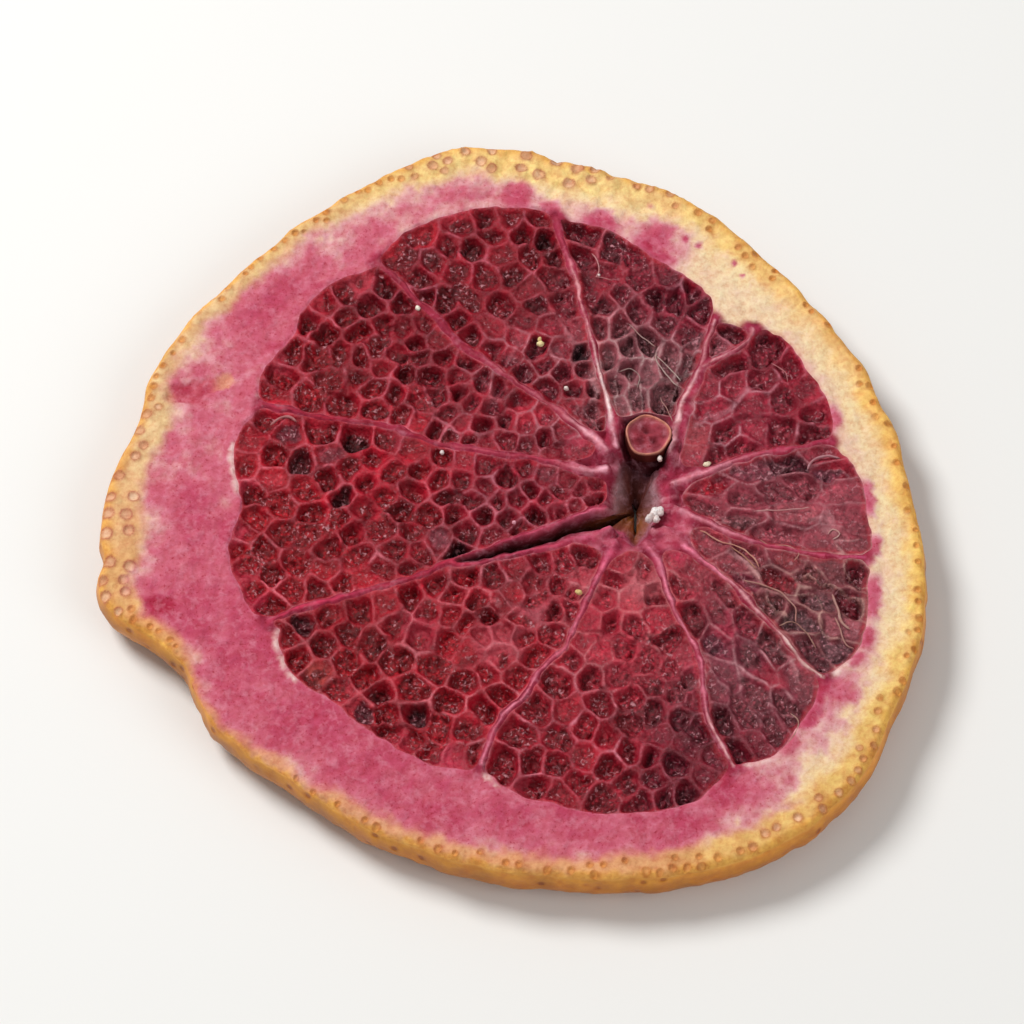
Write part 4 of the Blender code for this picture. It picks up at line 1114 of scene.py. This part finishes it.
def add_outer_skin(skin, rim_run, foot_run, rim, inward):
    """The outer skin between the rim and the foot: amber, waxy and pebbled by the glands under it."""
    top = skin.places()[rim_run][:, 2]
    along = np.concatenate([[0.0], np.cumsum(np.hypot(*np.diff(np.array(rim), axis=0).T))])
    rows = [rim_run]
    for level in SKIN_LEVELS[1:-1]:
        z = top * (1 - level)
        chart = np.column_stack([along, z])
        pebbles = 0.09 * ripple(chart, 1.1, 81) + 0.05 * ripple(chart, 0.5, 82)
        inset = np.interp(level, *SKIN_INSETS) + pebbles * min(1.0, 4 * level, 4 * (1 - level))
        places = np.array(rim) + inward * inset[:, None]
        shade = 1.0 + 0.14 * ripple(chart, 2.5, 83) + 0.1 * ripple(chart, 0.8, 84)
        colour = lerp("DE9430", "BF741F", smoothstep(0.0, 0.4, level)) * shade[:, None]
        rows.append(skin.add(np.column_stack([places, z]), colour, 1.0))
    add_bands(skin, rows + [foot_run], WALL)


def add_opening_wall(skin, upper, lower):
    """The torn wall of the opening at the core and of the crack that runs from it."""
    high, low = skin.places()[upper], skin.places()[lower]
    rows = [upper]
    for level in OPENING_LEVELS[1:-1]:
        places = high * (1 - level) + low * level
        chart = np.column_stack([places[:, 0] + places[:, 1], places[:, 2]])
        tears = 0.9 + 0.06 * ripple(chart, 0.9, 86)
        tears = tears * smoothstep(0.05, 0.55, level) * smoothstep(1.0, 0.75, level)
        wide = smoothstep(6.0, 2.6, away_from(*CORE, places))
        places[:, :2] += (CORE - places[:, :2]) * (wide * tears)[:, None]
        shadow = lerp("4E1C12", "8A5018", smoothstep(1.2, -1.6, places[:, 1]) * wide)
        colour = lerp(at_places(OPENING_LOOKS, places), shadow, 0.97 * smoothstep(0.04, 0.3, level))
        colour *= (1 + 0.25 * ripple(chart, 0.6, 87))[:, None]
        rows.append(skin.add(places, colour, 0.2))
    add_bands(skin, rows + [lower], OPENING_WALL, outward=False)


def rind_skin(upper_loops, lower_loops, inward):
    """Pith, membranes and peel as one piece, with its underside, outer skin and inner walls."""
    skin = Skin()
    upper = add_upper_rind(skin, upper_loops)
    lower = add_lower_rind(skin, lower_loops)
    add_outer_skin(skin, upper[0], lower[0], upper_loops[0], inward)
    add_opening_wall(skin, upper[1], lower[1])
    for above, below in zip(upper[2:], lower[2:]):
        add_wall(skin, above, below, INNER_WALL, outward=False)
    return skin


# ---- The smaller pieces ----


def circle(count):
    """Points round a circle of radius 1."""
    turn = np.arange(count) * 2 * math.pi / count
    return np.column_stack([np.cos(turn), np.sin(turn)])


def pip_skin():
    """The cut pip: a thin raised ring of coat round a red, pitted middle."""
    skin = Skin()
    middle = np.array(PIP_CENTRE)
    level = float(face_level(middle[None, :])[0])
    coat, flesh, edge = linear("C88270"), linear("963A48"), linear("B86068")
    count = 72
    turn = np.arange(count) * 2 * math.pi / count
    wobble = 1.0 + 0.03 * np.sin(3 * turn + 0.8) + 0.02 * np.sin(5 * turn)
    rows = []
    for share, lift in PIP_ROWS:
        places = middle + (PIP_RADIUS * share * wobble)[:, None] * circle(count)
        pits = np.zeros(count)
        for x, y, radius in PIP_PITS:
            pits += np.exp(-((np.hypot(*(places - middle - (x, y)).T) / radius) ** 2))
        inner = smoothstep(0.84, 0.74, share)
        z = level + lift + 0.16 * ripple(places, 0.5, 91) * inner - 0.55 * pits * inner
        colour = coat if share > 0.88 else edge + (flesh - edge) * inner
        # The pip's outer side, down in the moat round it, is painted dark brown as shade.
        colour = linear("5C2420") if share > 0.99 else colour
        colour = lerp(np.broadcast_to(colour, (count, 3)), "4A0C16", np.clip(0.85 * pits, 0, 1) * inner)
        colour = colour * (1 + 0.3 * ripple(places, 0.5, 92))[:, None]
        rows.append(skin.add(np.column_stack([places, z]), colour, 0.0 if inner else 1.0))
    tip = skin.add([(*middle, level - 0.2)], flesh, 0.0)[0]
    foot = middle + 0.9 * (skin.places()[rows[0]][:, :2] - middle)
    base = skin.add(np.column_stack([foot, np.full(count, level - PIP_DEPTH)]), coat, 0.0)
    under = skin.add([(*middle, level - PIP_DEPTH)], coat, 0.0)[0]
    for outer, inner in zip([base] + rows, rows):
        skin.cover(list(zip(outer, np.roll(outer, -1), np.roll(inner, -1), inner)), CUT_FACE)
    add_fan(skin, rows[-1], tip, CUT_FACE)
    add_fan(skin, base, under, UNDERSIDE, flipped=True)
    return skin


def add_fan(skin, row, tip, sheet, flipped=False):
    """Triangles from a closed row of points to one point."""
    ends = (np.roll(row, -1), row) if flipped else (row, np.roll(row, -1))
    skin.cover([(a, b, tip) for a, b in zip(*ends)], sheet)


def strands_skin():
    """Thin strands of torn wall lying over the cells."""
    skin = Skin()
    for points, half_width, code in STRANDS:
        path = np.array(smooth_path(points, 0.22, closed=False))
        run = np.gradient(path, axis=0)
        run /= np.hypot(*run.T)[:, None]
        side = np.column_stack([-run[:, 1], run[:, 0]])
        z = crest_level(path) + 0.05 + 0.06 * ripple(path, 1.0, 95)
        uneven = 1 + 0.25 * ripple(path, 0.6, 96)
        rows = []
        for k in range(len(path)):
            taper = min(1.0, 0.35 + 0.5 * min(k, len(path) - 1 - k))
            across, up = half_width * taper * uneven[k] * circle(8).T
            ring = path[k] + side[k] * across[:, None]
            rows.append(skin.add(np.column_stack([ring, z[k] + 1.1 * up]), code, 1.0))
        add_bands(skin, rows, CUT_FACE)
        skin.cover([rows[0], rows[-1][::-1]], CUT_FACE)
    return skin


def crumbs_skin():
    """Small rough lumps, each a ball whose points are pushed in and out."""
    skin = Skin()
    rng = np.random.default_rng(SEED + 9)
    across, around = 9, 14
    for x, y, radius, over, code in CRUMBS:
        centre = np.array([x, y, float(crest_level(np.array([[x, y]]))[0]) + over])
        stretch = rng.uniform(0.75, 1.25, 3)
        rows = []
        for tilt in math.pi * np.arange(1, across) / across:
            ball = np.column_stack([math.sin(tilt) * circle(around), np.full(around, math.cos(tilt))])
            push = 1 + rng.uniform(-0.16, 0.16, (around, 1))
            rows.append(skin.add(centre + ball * stretch * radius * push, code, 1.0))
        top, base = (skin.add([centre + (0, 0, up * radius * stretch[2])], code, 1.0)[0] for up in (1, -1))
        add_bands(skin, rows, CUT_FACE)
        add_fan(skin, rows[0], top, CUT_FACE)
        add_fan(skin, rows[-1], base, CUT_FACE, flipped=True)
    return skin


# ---- Materials ----


def add(tree, kind, sockets=None, stops=(), out=None, **settings):
    """Adds a node with its settings, ramp stops and each socket's value or link, and returns an output.

    That is the first one in use, unless another is named.
    """
    made = tree.nodes.new(kind)
    for name, value in settings.items():
        setattr(made, name, value)
    for name, value in (sockets or {}).items():
        socket = made.inputs[name]
        if isinstance(value, bpy.types.NodeSocket):
            tree.links.new(value, socket)
        else:
            socket.default_value = value
    for k, (position, shade) in enumerate(stops):
        elements = made.color_ramp.elements
        element = elements[k] if k < len(elements) else elements.new(position)
        element.position = position
        element.color = (*np.broadcast_to(shade, 3), 1.0)
    return made.outputs[out] if out else next(socket for socket in made.outputs if socket.enabled)


def per(size):
    """The scale of a pattern whose features are about this many millimetres."""
    return 1.0 / (size * MM)


def starter(name):
    """A new material with its tree, object coordinates, tint and relief."""
    material = bpy.data.materials.new(name)
    material.use_nodes = True
    tree = material.node_tree
    place = add(tree, "ShaderNodeTexCoord", out="Object")
    tint = add(tree, "ShaderNodeAttribute", attribute_name="tint", out="Color")
    relief = add(tree, "ShaderNodeAttribute", attribute_name="relief", out="Fac")
    return material, tree, place, tint, relief


def finished(material, colour, roughness, specular, bumps):
    """The material with its surface set. A bump is (strength, depth in millimetres, height)."""
    tree = material.node_tree
    shader = tree.nodes["Principled BSDF"]
    under = {}
    for strength, depth, height in bumps:
        sockets = {"Strength": strength, "Distance": depth * MM, "Height": height, **under}
        under = {"Normal": add(tree, "ShaderNodeBump", sockets)}
    for name, socket in {"Base Color": colour, "Roughness": roughness, **under}.items():
        tree.links.new(socket, shader.inputs[name])
    shader.inputs["Specular IOR Level"].default_value = specular
    return material


MULTIPLIED = {"data_type": "RGBA", "blend_type": "MULTIPLY"}


def pulp_material():
    """Dried juice cells: smooth glassy crimson walls round crumbly hollows, with painted glints of set juice.
    """
    material, tree, place, tint, relief = starter("dried pulp")
    # Set juice breaks into grains of 0.1 mm, drawn coarser so that they show.
    sizes = (
        (0.42, {"Detail": 5.0, "Roughness": 0.75}),
        (0.38, {"Detail": 1.5, "Roughness": 0.6, "Distortion": 0.9}),
        (1.9, {"Detail": 2.0, "Roughness": 0.6}),
    )
    grain, crumb, cloud = (
        add(tree, "ShaderNodeTexNoise", {"Vector": place, "Scale": per(size), **more}) for size, more in sizes
    )
    lumps = add(tree, "ShaderNodeTexVoronoi", {"Vector": place, "Scale": per(0.4)}, out="Distance")

    # The hollows are rougher than the walls, with painted shade in the gaps between their lumps.
    shade = add(tree, "ShaderNodeValToRGB", {"Fac": grain}, [(0.34, 0.5), (0.5, 1.0), (0.66, 1.55)])
    gap_shade = add(tree, "ShaderNodeValToRGB", {"Fac": lumps}, [(0.1, 1.25), (0.3, 1.0), (0.55, 0.6)])
    rough = add(tree, "ShaderNodeMix", {0: 1.0, 6: shade, 7: gap_shade}, **MULTIPLIED)
    smooth = add(tree, "ShaderNodeValToRGB", {"Fac": grain}, [(0.34, 0.8), (0.5, 1.0), (0.66, 1.2)])
    surface = add(tree, "ShaderNodeMix", {0: relief, 6: rough, 7: smooth}, data_type="RGBA")
    drift = add(tree, "ShaderNodeValToRGB", {"Fac": cloud}, [(0.36, 0.78), (0.5, 1.0), (0.64, 1.15)])
    colour = tint
    for layer in (surface, drift):
        colour = add(tree, "ShaderNodeMix", {0: 1.0, 6: colour, 7: layer}, **MULTIPLIED)

    # Painted glints: pale specks mixed into the colour of the hollows, and hardly any on the walls.
    sockets = {"Value": crumb, "From Min": 0.59, "From Max": 0.71, "To Max": 0.8}
    painted_glint_specks = add(tree, "ShaderNodeMapRange", sockets)
    sockets = {"Value": relief, "From Min": 0.2, "From Max": 0.9, "To Min": 1.0, "To Max": 0.12}
    hollow = add(tree, "ShaderNodeMapRange", sockets)
    painted_glints = add(tree, "ShaderNodeMath", {0: painted_glint_specks, 1: hollow}, operation="MULTIPLY")
    sockets = {0: painted_glints, 6: colour, 7: (*linear("CC8E98"), 1.0)}
    colour = add(tree, "ShaderNodeMix", sockets, data_type="RGBA")

    # Dried sugar is half glossy.
    sockets = {"Value": grain, "From Min": 0.3, "From Max": 0.7, "To Min": 0.22, "To Max": 0.45}
    roughness = add(tree, "ShaderNodeMapRange", sockets)
    bumps = [(0.5, 0.1, crumb), (0.7, -0.14, lumps), (0.7, 0.26, grain)]
    return finished(material, colour, roughness, 0.28, bumps)


def rind_material():
    """Dry pith is matt and fibrous like fine sponge, and the waxier peel and membranes shine a little."""
    material, tree, place, tint, relief = starter("dried rind")
    sizes = (
        (0.45, {"Detail": 5.0, "Roughness": 0.7}),
        (1.6, {"Detail": 4.0, "Roughness": 0.6}),
        (0.26, {"Detail": 2.0, "Roughness": 0.6}),
        (0.9, {"Detail": 5.0, "Roughness": 0.65, "Distortion": 0.2}),
    )
    sponge, blotch, speck, fibre = (
        add(tree, "ShaderNodeTexNoise", {"Vector": place, "Scale": per(size), **more}) for size, more in sizes
    )
    pores = add(tree, "ShaderNodeTexVoronoi", {"Vector": place, "Scale": per(0.45)}, out="Distance")

    # The dark of the sponge stays warm: a grey shade would turn the peel olive.
    stops = [(0.32, (0.87, 0.72, 0.69)), (0.5, (0.99, 0.97, 0.97)), (0.66, (1.06, 1.13, 1.15))]
    shade = add(tree, "ShaderNodeValToRGB", {"Fac": sponge}, stops)
    stops = [(0.34, (0.95, 0.86, 0.86)), (0.5, (1.0, 1.0, 1.0)), (0.66, (1.03, 1.08, 1.08))]
    drift = add(tree, "ShaderNodeValToRGB", {"Fac": blotch}, stops)
    colour = tint
    for layer in (shade, drift):
        colour = add(tree, "ShaderNodeMix", {0: 1.0, 6: colour, 7: layer}, **MULTIPLIED)

    # Stained pith alone has crimson pits, and any pith a pale frost where its fibres are torn.
    sockets = {"Value": relief, "From Min": 0.1, "From Max": 0.7, "To Min": 1.0, "To Max": 0.0}
    dry = add(tree, "ShaderNodeMapRange", sockets)
    sockets = {"Value": speck, "From Min": 0.3, "From Max": 0.4, "To Min": 0.7, "To Max": 0.0}
    pit = add(tree, "ShaderNodeMapRange", sockets)
    green = add(tree, "ShaderNodeSeparateColor", {"Color": tint}, out="Green")
    sockets = {"Value": green, "From Min": 0.2, "From Max": 0.45, "To Min": 1.0, "To Max": 0.1}
    stained = add(tree, "ShaderNodeMapRange", sockets)
    for share in (dry, stained):
        pit = add(tree, "ShaderNodeMath", {0: pit, 1: share}, operation="MULTIPLY")
    sockets = {0: pit, 6: colour, 7: (*linear("D4748A"), 1.0)}
    colour = add(tree, "ShaderNodeMix", sockets, **MULTIPLIED)
    sockets = {"Value": fibre, "From Min": 0.5, "From Max": 0.7, "To Max": 0.22}
    torn = add(tree, "ShaderNodeMapRange", sockets)
    frost = add(tree, "ShaderNodeMath", {0: torn, 1: dry}, operation="MULTIPLY")
    sockets = {0: frost, 6: colour, 7: (*linear("E8ACBC"), 1.0)}
    colour = add(tree, "ShaderNodeMix", sockets, data_type="RGBA")

    sockets = {"Value": relief, "To Min": 0.8, "To Max": 0.45}
    roughness = add(tree, "ShaderNodeMapRange", sockets)
    return finished(material, colour, roughness, 0.15, [(0.4, 0.1, pores), (0.65, 0.22, sponge)])


def skin_material():
    """Amber orange skin, waxy enough for a soft shine, with the dark sunken pores of its oil glands."""
    material, tree, place, tint, _ = starter("dried skin")
    sockets = {"Vector": place, "Scale": per(1.7), "Randomness": 0.85}
    pores = add(tree, "ShaderNodeTexVoronoi", sockets, out="Distance")
    sockets = {"Vector": place, "Scale": per(1.2), "Detail": 5.0, "Roughness": 0.65}
    cloud = add(tree, "ShaderNodeTexNoise", sockets)
    stops = [(0.3, (0.84, 0.68, 0.6)), (0.55, (1.0, 1.0, 1.0)), (0.72, (1.12, 1.2, 1.25))]
    shade = add(tree, "ShaderNodeValToRGB", {"Fac": cloud}, stops)
    stops = [(0.12, (0.6, 0.42, 0.3)), (0.2, (0.9, 0.8, 0.7)), (0.3, (1.0, 1.0, 1.0))]
    dip = add(tree, "ShaderNodeValToRGB", {"Fac": pores}, stops)
    colour = tint
    for layer in (shade, dip):
        colour = add(tree, "ShaderNodeMix", {0: 1.0, 6: colour, 7: layer}, **MULTIPLIED)
    sockets = {"Value": cloud, "From Min": 0.3, "From Max": 0.7, "To Min": 0.35, "To Max": 0.5}
    roughness = add(tree, "ShaderNodeMapRange", sockets)
    return finished(material, colour, roughness, 0.3, [(0.7, 0.25, dip), (0.35, 0.25, cloud)])


# ---- Pieces ----


def lay_out(skin, places, layout):
    """The place in the texture of every corner of every face: cut face, underside and walls apart."""
    low, high = places[:, :2].min(axis=0), places[:, :2].max(axis=0)
    span = float((high - low).max()) * 1.002
    tall = float(places[:, 2].max()) * 1.002
    corners = np.concatenate([np.array(face) for face in skin.faces])
    counts = np.array([len(face) for face in skin.faces])
    sheet = np.repeat(skin.sheets, counts)
    face = np.repeat(np.arange(len(counts)), counts)
    flat = (places[corners, :2] - (low + high) / 2) / span
    turn = np.arctan2(flat[:, 1], flat[:, 0]) / (2 * math.pi)
    first = turn[np.concatenate([[0], np.cumsum(counts)[:-1]])][face]
    turn = turn - np.round(turn - first)
    height = places[corners, 2] / tall
    uv = np.zeros((len(corners), 2))
    squares, strips = layout
    for key, (x, y, size) in squares.items():
        on = sheet == key
        uv[on] = (x, y) + flat[on] * size
    for key, (x, y, long, wide, rows, upright) in strips.items():
        on = sheet == key
        start = np.clip(np.floor((first[on] + 0.5) * rows), 0, rows - 1)
        along = long * (0.02 + 0.96 * ((turn[on] + 0.5) * rows - start))
        across = wide / rows * (start + 0.06 + 0.88 * height[on])
        uv[on] = (x, y) + np.column_stack([across, along] if upright else [along, across])
    return uv


def sway(places):
    """How far each place drifts sideways, so that no wall or edge runs dead straight."""
    noise = partial(ripple, places)
    drift = 0.6 * np.column_stack([noise(3.2, 7), noise(3.2, 8)])
    drift += 0.5 * np.column_stack([noise(0.9, 9), noise(0.9, 10)])
    middle = smoothstep(31.0, 27.0, away_from(3.0, 0.0, places))
    pip = smoothstep(1.0, 2.2, away_from(*PIP_CENTRE, places) / PIP_RADIUS)
    return drift * (0.03 + 0.21 * middle * (0.2 + 0.8 * pip))[:, None]


def piece_of(name, skin, materials, shift, layout=SMALL_LAYOUT, folded=None, outer_skin=False):
    """Makes a piece from a skin, in metres, riding on the slice's body and standing for its CAD node.

    The edges round the folded sheet are sharp, and the outer skin's wall has the second material.
    """
    places = skin.places().copy()
    uv = lay_out(skin, places, layout)
    places[:, :2] += sway(places) + shift
    mesh = bpy.data.meshes.new(name)
    mesh.from_pydata((places * MM).tolist(), [], skin.faces)
    tint = mesh.color_attributes.new("tint", "FLOAT_COLOR", "POINT")
    colours = np.clip(np.concatenate(skin.tints), 0.0, 1.0)
    tint.data.foreach_set("color", np.column_stack([colours, np.ones(len(colours))]).ravel())
    relief = mesh.attributes.new("relief", "FLOAT", "POINT")
    relief.data.foreach_set("value", np.concatenate(skin.relief).astype(np.float32))
    mesh.uv_layers.new(name="OFBake").uv.foreach_set("vector", uv.ravel())
    mesh.polygons.foreach_set("use_smooth", [True] * len(mesh.polygons))
    edge_numbers = np.empty(len(mesh.loops), int)
    mesh.loops.foreach_get("edge_index", edge_numbers)
    on_fold = np.repeat([sheet == folded for sheet in skin.sheets], [len(face) for face in skin.faces])
    beside = np.bincount(edge_numbers[on_fold], minlength=len(mesh.edges))
    mesh.attributes.new("sharp_edge", "BOOLEAN", "EDGE").data.foreach_set("value", beside == 1)
    for material in materials:
        mesh.materials.append(material)
    if outer_skin:
        mesh.polygons.foreach_set("material_index", [int(sheet == WALL) for sheet in skin.sheets])
    piece = bpy.data.objects.new(name, mesh)
    bpy.context.scene.collection.objects.link(piece)
    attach(piece, "root")
    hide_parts("orange_slice")


def make_slice():
    """Every piece of the slice."""
    rough = rough_rim(np.random.default_rng(SEED + 2))
    rim = rounded_off(spline(rough, True, 5))
    inward = np.array(spline(drawn_in(rough, 1.0), True, 5)) - rim
    inward /= np.hypot(*inward.T)[:, None]
    foot = [tuple(p) for p in np.array(rim) + inward * SKIN_UNDERCUT]
    tops = np.array([(x, y) for x, y, _ in VOID])
    void = spline(tops, True, 4)
    closing = np.array([by for _, _, by in VOID])
    low_void = spline(tops + (drawn_in(tops, 1.0) - tops) * closing[:, None], True, 4)
    bulge = drawn_in(rough, -RIM_BULGE)
    low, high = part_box("orange_slice")
    middle = (bulge.min(axis=0) + bulge.max(axis=0)) / 2
    shift = (np.array(low[:2]) + np.array(high[:2])) / 2 / MM - middle

    pulp = pulp_material()
    loops = ([rim, void], [foot, low_void])
    rng = np.random.default_rng(SEED)
    for clockwise, anticlockwise, tip, lobe, pitch_in, pitch_out, length in SEGMENTS:
        skin = Skin()
        runs = []
        for top, spacing, fine, share, grain in FACES:
            loop = fine_loop(segment_loop(clockwise, anticlockwise, tip, lobe, spacing), fine)
            cells = Cells(loop, share * pitch_in, share * pitch_out, length, rng)
            runs.append(pulp_face(skin, cells, grain, top, rng))
        for run, found in zip(runs, loops):
            found.append([tuple(p) for p in skin.places()[run][:, :2]])
        add_wall(skin, *runs, WALL, outward=True)
        piece_of("pulp_" + clockwise, skin, [pulp], shift, PULP_LAYOUT, folded=WALL)

    rind = rind_material()
    skin = rind_skin(*loops, inward)
    piece_of("rind", skin, [rind, skin_material()], shift, RIND_LAYOUT, folded=INNER_WALL, outer_skin=True)
    piece_of("pip", pip_skin(), [rind], shift)
    piece_of("strands", strands_skin(), [rind], shift)
    piece_of("crumbs", crumbs_skin(), [rind], shift)


# ---- Stage ----


def put(name, data, place, toward):
    """Adds a lamp or the camera, looking along the given direction."""
    made = bpy.data.objects.new(name, data)
    made.location = place
    made.rotation_euler = toward.to_track_quat("-Z", "Y").to_euler()
    bpy.context.scene.collection.objects.link(made)
    return made


def make_stage():
    """A pale floor, a pale room, soft lights and the camera."""
    scene = bpy.context.scene
    scene.view_settings.view_transform = "Standard"
    mesh = bpy.data.meshes.new("floor")
    mesh.from_pydata([(-2, -2, 0), (2, -2, 0), (2, 2, 0), (-2, 2, 0)], [], [(0, 1, 2, 3)])
    floor = bpy.data.objects.new("floor", mesh)
    scene.collection.objects.link(floor)
    material = bpy.data.materials.new("floor")
    material.use_nodes = True
    shader = material.node_tree.nodes["Principled BSDF"]
    shader.inputs["Base Color"].default_value = (0.82, 0.82, 0.81, 1.0)
    shader.inputs["Roughness"].default_value = 0.7
    mesh.materials.append(material)
    floor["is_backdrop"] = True

    scene.world = bpy.data.worlds.new("room")
    scene.world.use_nodes = True
    room = scene.world.node_tree.nodes["Background"]
    room.inputs["Color"].default_value = (1.0, 0.99, 0.97, 1.0)
    room.inputs["Strength"].default_value = 0.35
    for name, place, size, power, colour in LAMPS:
        light = bpy.data.lights.new(name, "AREA")
        light.shape = "DISK"
        light.size, light.energy, light.color = size, power, colour
        put(name, light, place, -Vector(place))

    camera = bpy.data.cameras.new("camera")
    camera.lens = CAMERA_LENS
    camera.clip_start = 0.01
    toward = Vector((0.0, math.cos(CAMERA_TILT), -math.sin(CAMERA_TILT)))
    scene.camera = put("camera", camera, Vector(CAMERA_AIM) - toward * CAMERA_DISTANCE, toward)


def write_sizes():
    """Puts the CAD model's box and the visual model's side by side as plain numbers; nothing is written."""
    boxes = {"cad": CAD_BOX, "visual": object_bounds()}
    plain = {name: [[float(v) for v in corner] for corner in box] for name, box in boxes.items()}


make_slice()
make_stage()
write_sizes()
